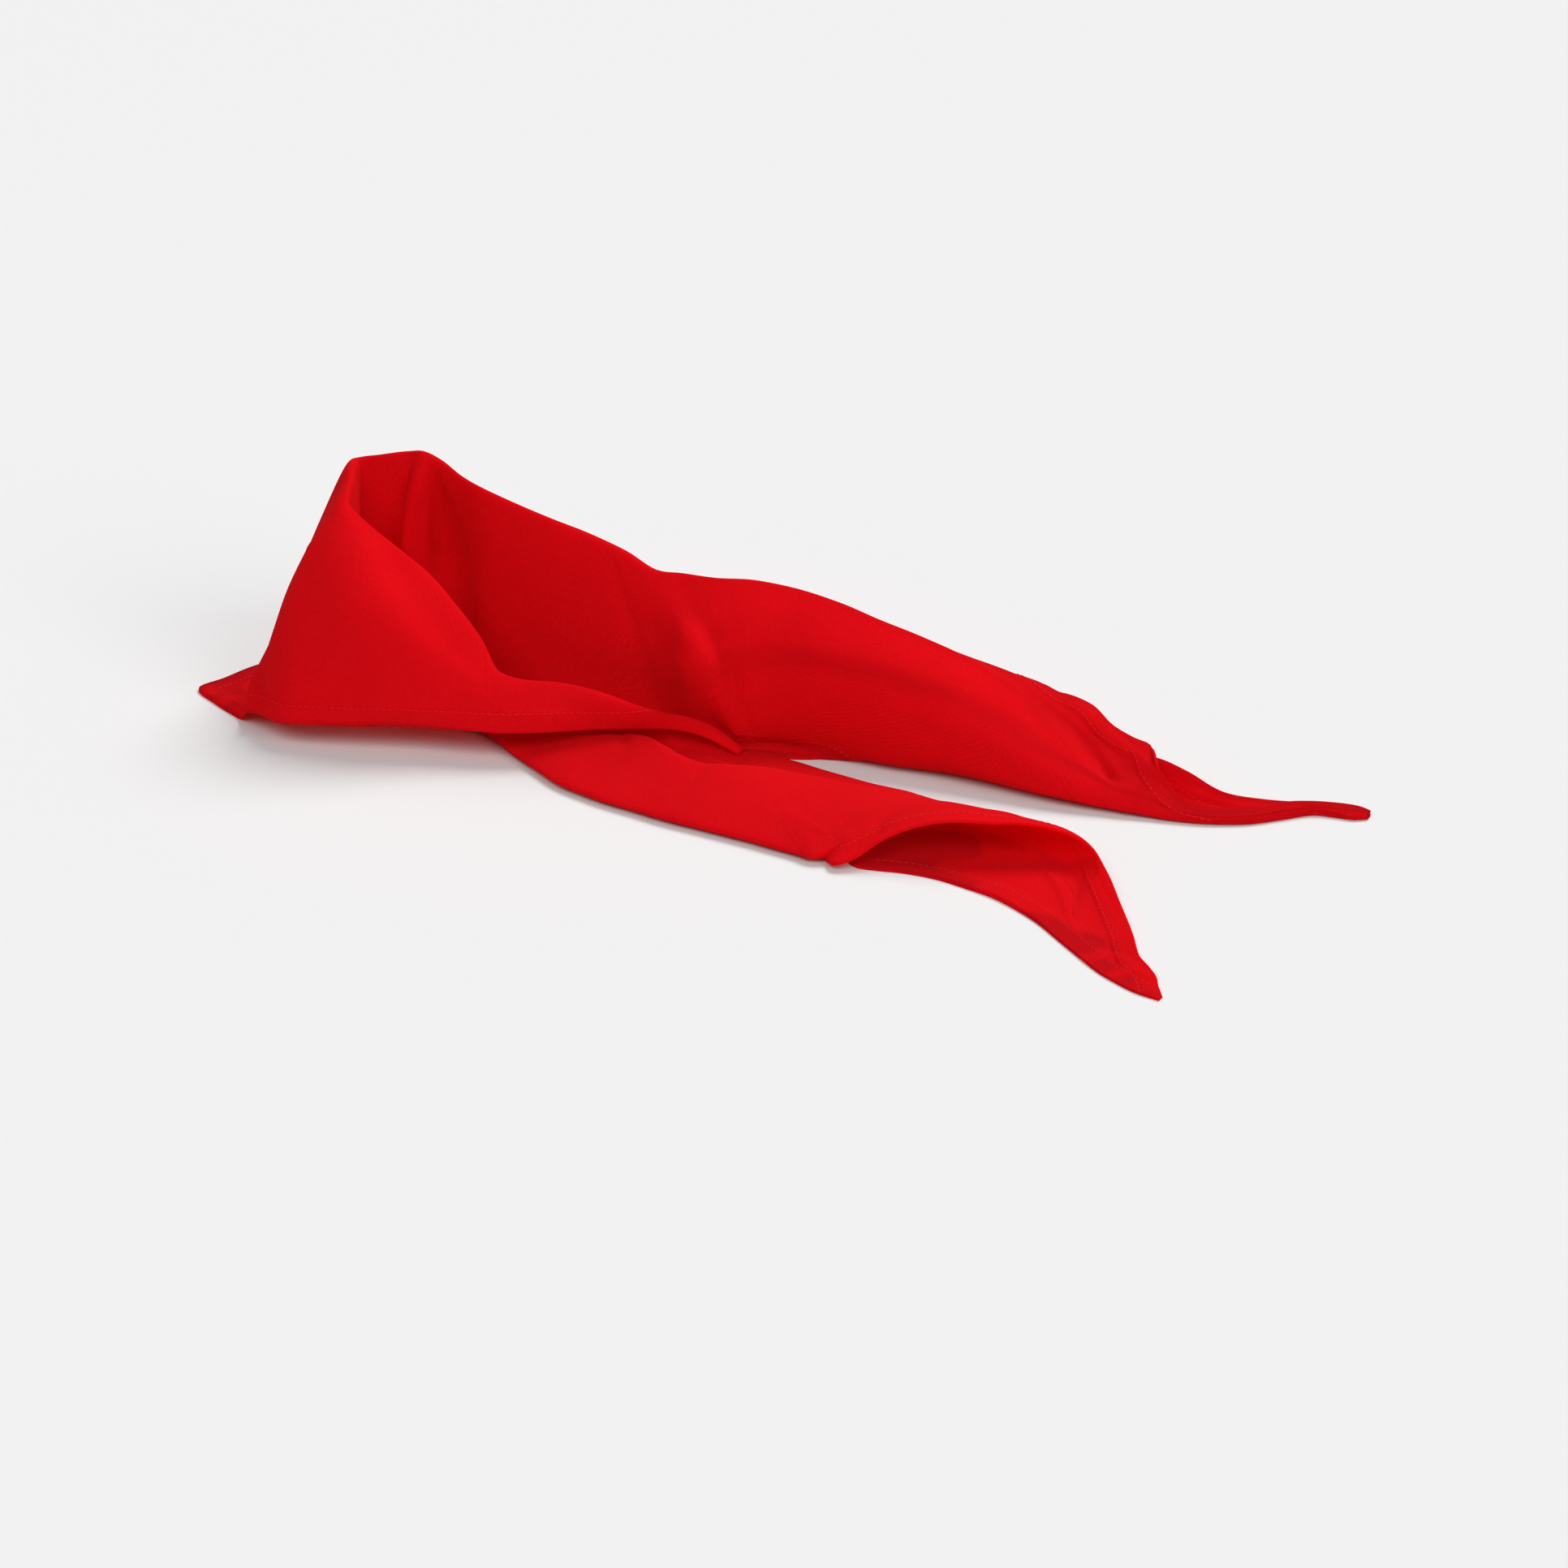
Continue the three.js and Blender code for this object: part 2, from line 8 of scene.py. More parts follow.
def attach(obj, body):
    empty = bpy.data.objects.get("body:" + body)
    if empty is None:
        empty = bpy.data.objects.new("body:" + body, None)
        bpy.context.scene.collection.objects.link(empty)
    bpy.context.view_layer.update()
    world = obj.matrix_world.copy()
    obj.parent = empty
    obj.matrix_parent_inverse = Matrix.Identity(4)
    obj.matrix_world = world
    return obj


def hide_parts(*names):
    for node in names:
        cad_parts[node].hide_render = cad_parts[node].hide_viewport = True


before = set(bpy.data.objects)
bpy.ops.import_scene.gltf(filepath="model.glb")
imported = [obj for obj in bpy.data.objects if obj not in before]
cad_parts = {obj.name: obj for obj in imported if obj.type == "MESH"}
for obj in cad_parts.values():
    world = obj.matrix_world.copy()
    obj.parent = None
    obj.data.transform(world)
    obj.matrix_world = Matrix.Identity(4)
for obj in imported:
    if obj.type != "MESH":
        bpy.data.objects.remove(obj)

bl_info = {
    "name": "Neckerchief",
    "version": (1, 0, 0),
    "blender": (4, 5, 0),
    "location": "3D View > Sidebar > Neckerchief",
    "description": "A red triangular neckerchief, lying in the shape it was worn in",
    "category": "Object",
}

# Lengths in the tables are millimetres, and so is every length that is worked out from them.
MM = 0.001

# The tables place the scarf round a point between its tails. This is the middle of its box there,
# which the frame has at its origin.
MIDDLE = (-24.8, -9.9)

# Radii of the bends at the crest and at the sill, and the share of the way to the next column that
# a bend may take.
CREST_BEND = 1.6
SILL_BEND = 1.1
BEND_SHARE = 0.3

# How late the near tip curls up, and how far from its path a fold still finds its own wall.
TIP_CURL = 5
FOLD_DEPTH = 15

# Steps across the cloth over which the folds of the inner layer fade in below the crest.
CREST_FADE = 4

# A section goes from the hem of one short edge of the triangle to the hem of its long edge.
# On the collar it climbs the outer layer, turns over at the crest and comes down the inner one.
COLUMNS = ["hem", "bend", "belly", "crest", "inner", "foot", "brow", "face", "sill", "tuck"]
CREST = COLUMNS.index("crest")
SILL = COLUMNS.index("sill")
STEPS = {
    "bend": 5, "belly": 10, "crest_out": 10, "crest": 2, "crest_in": 2, "inner": 14,
    "foot": 10, "brow": 5, "face": 10, "sill_in": 8, "sill": 2, "sill_out": 2, "tuck": 8,
}

# Tip of the near tail, one layer: x, then the front and the back edge as [towards the front, up].
# It lies flat and curls up only near the back edge, the more so the higher TIP_CURL is.
NEAR_TIP = [
    [219, [111, 0.6], [108, 0.8]],
    [209, [109.5, 0.6], [93, 2]],
    [200, [106, 0.6], [84, 2.5]],
    [190, [101, 0.6], [67, 3]],
    [176, [91, 0.6], [46, 4.4]],
    [164, [82, 0.6], [30.5, 8.2]],
]

# Near tail: x, then every column as [towards the front, up]: the outer layer up to the crest, then
# the inner one. The short edge lies underneath and the long edge ends on top, in an arch that
# lifts off the layer below.
NEAR_TAIL = [
    [152, [73, 0.6], [61, 0.6], [50, 0.6], [40, 0.6],
     [32, 1], [25.5, 3], [21, 5.6], [18.5, 8.4], [18.5, 10.8], [20.5, 12.6]],
    [140, [66, 0.6], [54, 0.6], [42, 0.6], [31, 0.6],
     [22, 1], [15.5, 3.6], [12.5, 7.5], [13, 12], [16, 15], [20, 16.2]],
    [126, [60, 0.6], [46, 0.6], [33, 0.6], [21, 0.8],
     [12, 2], [8, 5.5], [8, 10], [11.5, 14], [18, 17], [26, 19]],
    [112, [57, 0.6], [41, 0.6], [26, 0.6], [12, 1],
     [5, 5], [4, 9], [8, 13], [15, 16], [24, 18.2], [33, 19.3]],
    [98, [55, 0.6], [38, 0.6], [21, 0.6], [7, 1],
     [2, 5], [3, 9], [10, 13], [19, 17], [29, 19], [38, 19]],
    [84, [56, 0.6], [37, 0.6], [18, 0.6], [4, 1],
     [-1, 5], [3, 9], [13, 13], [24, 16], [35, 17], [44, 16]],
    [72, [59, 0.6], [38, 0.6], [17, 0.6], [1, 1],
     [-3, 5], [2, 8], [13, 12], [28, 14], [43, 14], [54, 11]],
    [64, [60, 0.6], [38, 0.6], [16, 0.6], [-1, 1],
     [-5, 4.5], [1, 8], [13, 11], [30, 13], [48, 11], [63, 5.5]],
    [57, [55, 0.6], [36, 0.6], [13, 0.6], [-4, 1],
     [-7, 4.5], [1, 8], [12, 11], [33, 12], [55, 9], [67, 3]],
    [48, [44, 0.6], [30, 0.6], [10, 0.6], [-7, 1],
     [-9, 4], [-1, 7], [11, 11], [40, 11], [65, 4], [58, 0.6]],
    [35, [36, 0.6], [22, 0.6], [5, 0.6], [-10, 1],
     [-10, 4], [-2, 6], [11, 11], [42, 10], [64, 3], [50, 0.6]],
    [15, [23, 0.6], [12, 0.6], [-2, 0.6], [-15, 1],
     [-13, 4], [-2, 6], [13, 12], [42, 10], [62, 3], [36, 0.6]],
    [-5, [9, 0.6], [1, 0.6], [-9, 0.6], [-17, 1],
     [-15, 4], [2, 6], [17, 13], [42, 10], [61, 3], [20, 0.6]],
    [-20, [-3, 0.6], [-8, 0.6], [-13, 1], [-17, 3],
     [-13, 4], [9, 5], [22, 13], [42, 10], [60.5, 3], [6, 0.6]],
]

# Near side of the collar: x, then [towards the front, up]. The outer layer hangs from the crest
# with its hem clear of the floor, and the inner layer comes out under it as the near tail.
NEAR_COLLAR = [
    [-27, [-9, 5], [-11, 5.4], [-13, 5.2], [-15, 4.2],
     [-12, 3], [12, 4], [25, 13], [43, 10], [60, 3], [4, 0.6]],
    [-41, [-6, 11], [-8, 13], [-11, 14], [-14, 12],
     [-14, 7], [9, 3], [22, 13.5], [42, 9], [58.5, 3], [4, 0.6]],
    [-54, [-2, 14], [-3, 17], [-5, 19], [-7, 17.5],
     [-10, 10], [2, 3.5], [15, 13.5], [38, 9], [57, 3], [4, 0.6]],
    [-68, [5, 15], [6, 18], [6, 22], [4, 24],
     [-3, 15], [-4, 4.5], [7, 12], [33, 9], [54.5, 3], [4, 0.6]],
    [-85, [15, 15], [15, 20], [14, 26], [10, 30],
     [3, 18], [-3, 4], [8, 10], [29, 9], [50, 3], [2, 0.6]],
    [-104, [29, 15], [27, 21], [21, 28], [14, 33],
     [7, 19], [0, 5], [10, 8], [24, 7], [40, 3], [0, 0.6]],
    [-120, [38, 15], [36, 22], [31, 30], [24, 36],
     [12, 21], [2, 5], [8, 6], [17, 5], [31, 3], [0, 0.6]],
    [-129, [41, 15], [39, 23], [33, 33], [26, 39],
     [13, 22], [2, 5], [7, 6], [14, 5], [25, 3], [-2, 0.6]],
    [-140, [44, 15], [42, 24], [34, 38], [20, 49],
     [12, 26], [3, 5], [7, 5.5], [12, 4.5], [18, 3], [-2, 0.6]],
    [-155, [47, 14.5], [46, 26], [35, 45], [17, 62],
     [10, 30], [3, 5.5], [7, 5], [11, 4], [15, 3], [-3, 0.6]],
    [-170, [52, 14], [50, 28], [36, 52], [14, 73],
     [8, 36], [2, 5.5], [6, 5], [10, 4], [14, 3], [-4, 0.6]],
    [-186, [58, 13], [54, 29], [38, 57], [13, 82],
     [6, 40], [1, 5.5], [5, 5], [9, 4], [13, 3], [-6, 0.6]],
    [-202, [63, 12.5], [58, 29], [39, 62], [14, 92],
     [6, 45], [0, 5.5], [4, 5], [8, 4], [12, 3], [-8, 0.6]],
]

# Back of the collar: x and y of the crest, the headings that its outer and its inner layer face,
# in degrees, then [distance along the heading, up].
BACK_COLLAR = [
    [-214, -11, -94, 86, [56, 11.5], [49, 28], [28, 64], [0, 98.5],
     [5, 50], [8, 6], [7, 5], [6.4, 4], [6, 2.6], [20, 0.6]],
    [-218, -4, -107, 77, [59, 10], [52, 27], [32, 66], [0, 101.5],
     [5, 50], [6, 6], [6, 4.4], [6.3, 2.8], [7, 1.6], [17, 0.6]],
    [-222, 5, -111.5, 55, [65, 6], [55, 24], [34, 64], [0, 103.5],
     [4, 52], [4.4, 6], [4.7, 3.8], [5.2, 2], [6.5, 1], [12, 0.6]],
    [-225, 10, -114, 32, [67, 1], [54, 8], [35, 55], [0, 104.5],
     [3, 53], [4, 6], [4.3, 3.8], [5, 2], [6.4, 1], [11, 0.6]],
    [-228, 15, -128, 10, [72, 0.6], [47.5, 2], [31, 52], [0, 105.5],
     [3, 54], [4, 6], [4.3, 3.8], [5, 2], [6.4, 1], [12, 0.6]],
    [-230, 20, -139, -8, [78, 0.6], [45, 1.2], [29, 50], [0, 105.8],
     [4, 55], [5, 6], [5.3, 3.8], [6, 2], [7.4, 1], [14, 0.6]],
    [-226, 25, -145, -30, [72.5, 0.6], [43, 1.2], [26.5, 50], [0, 106.5],
     [3, 56], [4, 6], [4.3, 3.8], [5, 2], [6.4, 1], [12, 0.6]],
    [-219, 29, -157, -61, [67, 0.6], [41, 1.2], [24, 50], [0, 107.4],
     [3, 56], [3, 6], [3.3, 3.8], [4, 2], [5.4, 1], [10, 0.6]],
    [-210, 34, -180, -92, [52, 0.6], [33, 1.4], [20, 50], [0, 108.7],
     [6, 58], [5, 6], [5.3, 3.8], [6, 2], [7.4, 1], [13, 0.6]],
    [-203, 36, 128, -97, [31, 0.6], [27, 4], [17, 50], [0, 109.4],
     [12, 62], [7, 6], [7.3, 3.8], [8, 2], [9.4, 1], [16, 0.6]],
    [-194, 36, 100, -96, [31, 0.6], [28, 8], [18, 52], [0, 106.8],
     [1, 60], [6, 6], [6.6, 3.8], [8, 2], [10, 1], [19, 0.6]],
    [-182, 33, 92, -96, [33, 0.6], [30, 10], [19, 52], [0, 102.5],
     [-1, 58], [5, 6], [5.6, 3.8], [7, 2], [9, 1], [19, 0.6]],
]

# Far side of the collar and far tail: x, then [towards the back, up]. The tail is a soft roll
# whose two edges meet along its back, climb over the crest and come down its front to the tip.
FAR_SIDE = [
    [-168, [63, 0.6], [60, 10], [46, 50], [29, 100],
     [27, 55], [22, 7], [21, 4], [20, 2], [18, 1], [12, 0.6]],
    [-150, [63, 0.6], [60, 10], [46, 48], [28, 95.6],
     [25, 52], [20, 7], [19, 4], [18, 2], [16, 1], [10, 0.6]],
    [-130, [63, 0.6], [60, 10], [44, 46], [27, 91.6],
     [24, 50], [18, 7], [17, 4], [16, 2], [14, 1], [8, 0.6]],
    [-112, [63, 0.6], [60, 10], [45, 44], [29, 86.6],
     [24, 47], [18, 7], [17, 4], [16, 2], [14, 1], [9, 0.6]],
    [-95, [64, 0.6], [61, 10], [46, 42], [30, 81.5],
     [24, 43], [18, 7], [17, 4], [16, 2], [14, 1], [10, 0.6]],
    [-80, [65, 0.6], [62, 10], [48, 40], [31, 75],
     [24, 40], [20, 7], [19, 4], [18, 2], [16, 1], [12, 0.6]],
    [-68, [67, 0.6], [64, 10], [51, 38], [34, 75],
     [21, 40], [21, 7], [20, 4], [19, 2], [17, 1], [14, 0.6]],
    [-52, [71, 0.6], [68, 10], [56, 38], [37, 74.5],
     [15, 44], [18, 9], [19, 5], [19, 2.4], [18, 1], [15, 0.6]],
    [-36, [76, 0.6], [73, 10], [62, 38], [43, 74],
     [24, 52], [20, 18], [21, 7], [22, 3], [20.5, 1.2], [17, 0.6]],
    [-20, [81, 0.6], [79, 10], [70, 38], [51, 70],
     [31, 52], [25, 25], [25, 10], [29, 4], [26, 1.4], [20.5, 0.6]],
    [0, [84, 4], [82, 14], [72, 40], [54, 66],
     [35, 52], [28, 32], [28, 12], [31, 4.6], [30, 1.6], [28, 0.6]],
    [18, [86, 9], [84, 18], [74, 40], [57, 60],
     [39, 49], [31, 33], [28.5, 15], [31, 5], [35, 1.4], [42, 0.6]],
    [36, [87, 16], [83, 26], [75, 41], [61, 54],
     [43, 46], [33, 31], [29.5, 15], [32, 4.5], [46, 0.9], [72, 0.6]],
    [54, [87, 24], [82, 32], [75, 41], [63, 48],
     [46, 42], [35, 28], [30, 13], [34.5, 4], [54, 0.6], [84, 2]],
    [70, [86, 28], [81, 34], [74, 39.5], [65, 41],
     [48, 36], [36, 25], [30, 11.5], [36, 3.6], [60, 0.6], [90, 5]],
    [86, [80, 33], [76, 35.5], [70, 36.5], [62, 35.5],
     [49, 30.5], [36, 21], [30.5, 10], [36.5, 3.2], [64, 0.6], [90, 14]],
    [100, [77, 32], [71, 32], [64, 30.5], [56, 27.5],
     [46, 23.5], [35.5, 16.5], [31, 8.5], [36.5, 3], [64, 0.8], [78, 25]],
    [113, [76, 29.5], [70, 28], [62, 25], [54, 21.5],
     [45, 18], [36, 13.5], [31.5, 7], [37.5, 2.6], [60, 2], [75, 23.5]],
    [126, [69, 25.5], [64, 22.5], [58, 19.8], [51, 17],
     [44, 14.5], [37, 11], [33, 5.6], [39, 2.2], [58, 3], [69, 20]],
    [137, [66.5, 23], [60, 19], [53.5, 16], [47, 13],
     [42, 11], [38, 8.5], [35, 4.4], [40.5, 1.8], [57, 3], [66, 18]],
    [145, [65, 22], [57.5, 18], [52, 14.5], [46.5, 11.5],
     [42.5, 9.8], [39, 7.4], [36, 3.8], [42, 1.4], [56.5, 3.5], [64.5, 17.5]],
    [152, [56, 18], [53, 15], [49.5, 12], [46, 10],
     [43, 8.5], [40, 6.2], [37.5, 3], [43, 1.2], [56, 4], [63, 17.5]],
    [165, [50, 8.5], [48.5, 7], [46.5, 6], [44.5, 5.4],
     [43, 5], [41.5, 4], [40, 2], [44.5, 0.8], [56, 5], [61, 15]],
    [180, [53, 5], [51, 4.6], [49, 4.4], [47.5, 4],
     [46, 3.6], [45, 2.8], [44.5, 1.6], [48, 0.6], [58, 3], [62, 8.6]],
    [195, [61, 5], [59, 5], [57, 4.8], [55.5, 4.4],
     [54, 3.8], [53, 2.8], [52.5, 1.4], [55, 0.6], [64, 1.6], [71.5, 4]],
    [207, [72, 5], [70.5, 5.2], [69, 5.2], [67.5, 4.8],
     [66, 4], [65, 2.8], [64.5, 1.4], [66.5, 0.6], [73, 1.4], [78.5, 2.4]],
    [217, [79, 4], [78.3, 4.4], [77.3, 4.5], [76.3, 4.3],
     [75.4, 3.7], [74.7, 2.8], [74.5, 1.6], [75.5, 0.7], [79, 1], [83, 1.8]],
    [227, [84.5, 3], [83.3, 3.3], [82, 3.4], [80.5, 3.3],
     [79, 3], [77.5, 2.4], [76.5, 1.3], [77.5, 0.6], [82, 0.6], [87.5, 1.4]],
    [234, [86, 2.5], [85, 2.7], [84, 2.8], [82.5, 2.7],
     [81, 2.6], [79, 2.3], [77.3, 1.4], [79, 0.6], [83, 0.6], [87.5, 0.9]],
    [239, [84.5, 2.2], [84, 2.3], [83.4, 2.3], [82.8, 2.2],
     [82.2, 2.3], [81.6, 2], [81, 1.3], [81.8, 0.6], [83.2, 0.6], [85, 0.6]],
]

# Folds pressed into the cloth: the two steps across the cloth that each lies between, its path,
# and then, evenly along the path, how far it rises and how far it spreads to the left and to the
# right of it. Below zero it is a groove.
FOLDS = [
    {
        "name": "ridge inside the neck", "between": ["crest_in", "foot"], "rises": [1, 3, 3.5, 3],
        "left": [6, 7], "right": [8, 7],
        "path": [[-202, 34, 107], [-204, 29, 96], [-207, 25, 78], [-209, 23, 62], [-209, 21, 44]],
    },
    {
        "name": "groove inside the neck", "between": ["crest_in", "foot"],
        "rises": [-0.5, -3, -4.5, -4.5, -2],
        "left": [4, 8, 14, 18, 20], "right": [4, 6, 7, 8, 8],
        "path": [[-198, 35, 105], [-196, 34, 95], [-194, 33, 84], [-193, 32, 68], [-190, 31, 52],
                 [-184, 30, 36]],
    },
    {
        "name": "shoulder of the near collar", "between": ["hem", "crest_out"],
        "rises": [1, 3, 4, 3.5, 2.5, 1],
        "left": [9, 13, 16, 16, 13, 10], "right": [24, 30, 34, 32, 26, 18],
        "path": [[-214, -12, 96], [-203, -20, 82], [-190, -29, 66], [-176, -34, 54], [-158, -37, 44],
                 [-138, -36, 35]],
    },
    {
        "name": "pleat across the far side", "between": ["crest_in", "brow"],
        "rises": [0.5, 2, 3.5, 5, 5.5, 5, 4, 2],
        "left": [16, 12, 9, 7, 6, 6, 6, 5], "right": [16, 20, 24, 26, 24, 18, 12, 6],
        "path": [[-80, 30, 72], [-72, 26, 64], [-62, 21, 58], [-52, 19, 52], [-45, 18, 43], [-41, 18, 32],
                 [-37, 19, 20], [-32, 21, 9]],
    },
    {
        "name": "pressed line on the far side", "between": ["crest_in", "foot"],
        "rises": [-0.8, -1.2, -0.6],
        "left": [3, 3], "right": [9, 9],
        "path": [[-100, 28, 80], [-92, 26, 60], [-82, 23, 37], [-73, 22, 15]],
    },
    {
        "name": "first fold of the far tail", "between": ["hem", "inner"], "rises": [-0.5, -1.6, -1.6],
        "left": [5, 6], "right": [9, 9], "path": [[90, 63, 34], [110, 59, 27], [120, 55, 21], [133, 45, 13]],
    },
    {
        "name": "second fold of the far tail", "between": ["hem", "inner"], "rises": [0.6, 1.5, 1],
        "left": [4, 4], "right": [7, 7],
        "path": [[101, 75, 31], [112, 70, 28], [126, 64, 23], [140, 59, 19], [150, 54, 16]],
    },
]

TOWARDS_FRONT = -90
TOWARDS_BACK = 90

# Folds too small for the plain solid, laid out as the ones above.
SMALL_FOLDS = [
    {
        "name": "turn of the near collar", "between": ["hem", "crest_out"], "rises": [0, 2, 3.6, 4, 3, 1.2],
        "left": [8, 16, 26, 32, 32, 26], "right": [16, 28, 38, 44, 46, 44],
        "path": [[-212, -15, 93], [-204, -22, 80], [-192, -30, 65], [-179, -36, 52], [-166, -42, 38],
                 [-157, -46, 26]],
    },
    {
        "name": "step beside the pleat", "between": ["crest_in", "brow"],
        "rises": [-0.4, -1, -1.6, -1.8, -1.6, -0.8], "left": [8, 9, 9, 8, 7, 6], "right": [4, 4, 4, 4, 4, 4],
        "path": [[-66, 25, 62], [-54, 20, 57], [-45, 18, 51], [-39, 18, 40], [-35, 19, 27], [-30, 21, 11]],
    },
    {
        "name": "edge of the pleat", "between": ["crest_in", "brow"],
        "rises": [0.3, 0.8, 1.3, 1.5, 1.4, 0.8], "left": [3, 3, 3, 3, 3, 3], "right": [7, 7, 7, 6, 5, 4],
        "path": [[-70, 25, 63], [-60, 20, 57], [-50, 18, 49], [-43, 18, 37], [-38, 19, 24], [-33, 21, 11]],
    },
    {
        "name": "crease above the near hem", "between": ["hem", "belly"], "rises": [0.6, 1.2, 1, 0.3],
        "left": [4, 4], "right": [7, 7],
        "path": [[-236, -52, 27], [-223, -59, 28], [-208, -60, 29], [-192, -56, 29]],
    },
    {
        "name": "roll at the corner of the collar", "between": ["hem", "belly"],
        "rises": [1, 2.8, 3, 2], "left": [6, 6], "right": [5, 5],
        "path": [[-242, -44, 29], [-244, -49, 23], [-243, -54, 16], [-241, -59, 11]],
    },
    {
        "name": "edge of the near tail's top", "between": ["foot", "sill"],
        "rises": [-0.4, -1, -1, -0.8, -0.3], "left": [5, 6], "right": [6, 8],
        "path": [[-60, -12, 13], [-44, -23, 13], [-30, -26, 13], [-13, -22, 13], [5, -15, 13]],
    },
    {
        "name": "dent under the collar's hem", "between": ["foot", "sill"], "rises": [0.8, 1.6, 0.6],
        "left": [5, 6], "right": [4, 5], "path": [[-78, -8, 11], [-72, -14, 13], [-66, -21, 13]],
    },
    {
        "name": "dent in the near tail", "between": ["foot", "tuck"], "rises": [0.4, 1.2, 0.5],
        "left": [4, 4], "right": [7, 7], "path": [[70, -50, 11], [66, -40, 13], [69, -28, 14]],
    },
    {
        "name": "crease under the arch", "between": ["hem", "crest"], "rises": [0.7, 1.1, 0.9, 0.3],
        "left": [7, 8], "right": [3, 3], "path": [[130, -14, 3], [137, -27, 1], [151, -46, 1], [164, -67, 1]],
    },
    {
        "name": "first crinkle of the near tip", "between": ["hem", "tuck"], "rises": [0.3, 1, 1, 0.3],
        "left": [3, 3], "right": [4, 4], "path": [[181, -92, 1], [186, -86, 1], [194, -87, 2], [200, -91, 2]],
    },
    {
        "name": "second crinkle of the near tip", "between": ["hem", "tuck"], "rises": [0.3, 1, 0.9, 0.3],
        "left": [3, 3], "right": [4, 4],
        "path": [[195, -101, 1], [199, -95, 1], [206, -95, 2], [211, -99, 2]],
    },
    {
        "name": "dent in the top of the far tail", "between": ["hem", "belly"], "rises": [-0.4, -1.5, -0.5],
        "left": [3, 3], "right": [4, 4], "path": [[90, 79, 34], [97, 76, 33], [105, 72, 31]],
    },
    {
        "name": "dent in the front of the far tail", "between": ["hem", "foot"], "rises": [-0.5, -1.4, -0.5],
        "left": [4, 4], "right": [4, 4], "path": [[128, 52, 17], [133, 47, 14], [140, 43, 12]],
    },
    {
        "name": "dent in the flap of the far tail", "between": ["hem", "crest"], "rises": [-0.6, -1.3, -0.4],
        "left": [3, 3], "right": [3, 3], "path": [[147, 62, 20], [149, 57, 17], [150, 52, 15]],
    },
]

# Unevenness all over: the sizes of its waves, and how high each one is.
RIPPLE_SIZES = [55.0, 22.0]
RIPPLE_HEIGHTS = [0.9, 0.3]

# Hems and stitching, in millimetres. HEM_EXTRA is the share by which a hem is thicker than the
# single cloth, over a slope HEM_SLOPE wide. The relief in the material has its own, steeper step.
HEM_WIDTH = 9.5
HEM_EXTRA = 0.5
HEM_SLOPE = 1.5
HEM_HEIGHT = 0.3
HEM_STEP = (0.7, -0.5)
SEAM_INSET = 8.2
SEAM_BREAK = 12.0
SEAM_DIP = 0.08
SEAM_DIP_REACH = 1.6
PUCKER_PITCH = 3.5
PUCKER_REACH = 14.0
PUCKER_HEIGHT = 0.45

# A stitch is a bead of thread: the place of each ring along it and its share of the radius, the
# sides of a ring, and how far it stands off the hem, as a share of the radius.
BEAD_RINGS = [(-1.0, 0.15), (-0.55, 0.9), (0.0, 1.0), (0.55, 0.9), (1.0, 0.15)]
BEAD_SIDES = 6
BEAD_LIFT = 0.25

# Weave and thread, in millimetres. A slub is a thick stretch of thread, narrow and long.
THREAD_PITCH = 0.5
WEAVE_HEIGHT = 0.07
SLUB_ALONG = (0.12, 1.6, 0.0)
SLUB_BESIDE = (1.6, 0.12, 0.0)
SLUB_HEIGHT = 0.05
LINT_SCALE = 0.6
LINT_HEIGHT = 0.2
WEAR_SCALE = 0.02
LINT_SHEEN = 0.04
TWIST_PITCH = 0.4
PAPER_GRAIN = 1.1

# How much each of these lightens or deepens the dye, and the tones that the two dyes stand for.
SLUB_TONE = 0.22
LINT_TONE = 0.3
WEAR_TONE = 0.35
# SEAM_SHADE_TONE deepens the dye in the seam's dip as painted shade.
SEAM_SHADE_TONE = -0.12
TONE_RANGE = (0.3, 0.8)

# The share of the light that passes through the cloth.
LIGHT_THROUGH = 0.5

# Colours, as sRGB: the dye where the cloth is dense and in the painted shade along the seam, and where
# its nap is raised, its lint, the sewing thread and the floor's paper, which is greyer than it looks under
# these lights.
DYE_DEEP = "#F20A1A"
DYE_LIGHT = "#FF1420"
LINT = "#FF9C88"
THREAD_DEEP = "#DC0612"
THREAD_LIGHT = "#F61422"
PAPER = "#DCDCDC"

# White lights: the azimuth, elevation and strength of each sun, how wide each of them is, and the
# strength of the room's own light. Angles are in degrees.
SUNS = [
    ("left_light", 5, 48, 1.12),
    ("right_light", 70, 30, 1.06),
    ("back_light", 165, 52, 2.46),
]
SUN_SPREAD = 35
ROOM_LIGHT = 0.19


# Shape of the cloth


def spread_tip(x, front, back):
    """A section of the near tail's tip, one layer thick, from its front to its back edge."""
    shares = [i / (len(COLUMNS) - 1) for i in range(len(COLUMNS))]
    (from_y, from_z), (to_y, to_z) = front, back
    return [
        x, *([from_y + (to_y - from_y) * s, from_z + (to_z - from_z) * s**TIP_CURL] for s in shares)
    ]


def facing(heading, row):
    """A row of a straight stretch, written as a row of the collar's back is."""
    x, *points = row
    return [x, 0, heading, heading, *points]


def section_points(row):
    x, y, outward, inward, *points = row
    places = []
    for i, (reach, height) in enumerate(points):
        heading = math.radians(outward if i <= CREST else inward)
        places.append((x + reach * math.cos(heading), y + reach * math.sin(heading), height))
    return np.array(places)


def add_bend(points, i, radius):
    """Puts a point on either side of one point, so that the cloth turns over in a round bend."""
    before, fold, after = points[i - 1 : i + 2]
    back, ahead = before - fold, after - fold
    reach = min(radius, BEND_SHARE * min(np.linalg.norm(back), np.linalg.norm(ahead)))
    back /= np.linalg.norm(back)
    ahead /= np.linalg.norm(ahead)
    along = (back + ahead) / 2
    apart = (back - ahead) / np.linalg.norm(back - ahead)
    bend = [fold + (along + apart) * reach, fold, fold + (along - apart) * reach]
    return np.concatenate([points[:i], bend, points[i + 1 :]])


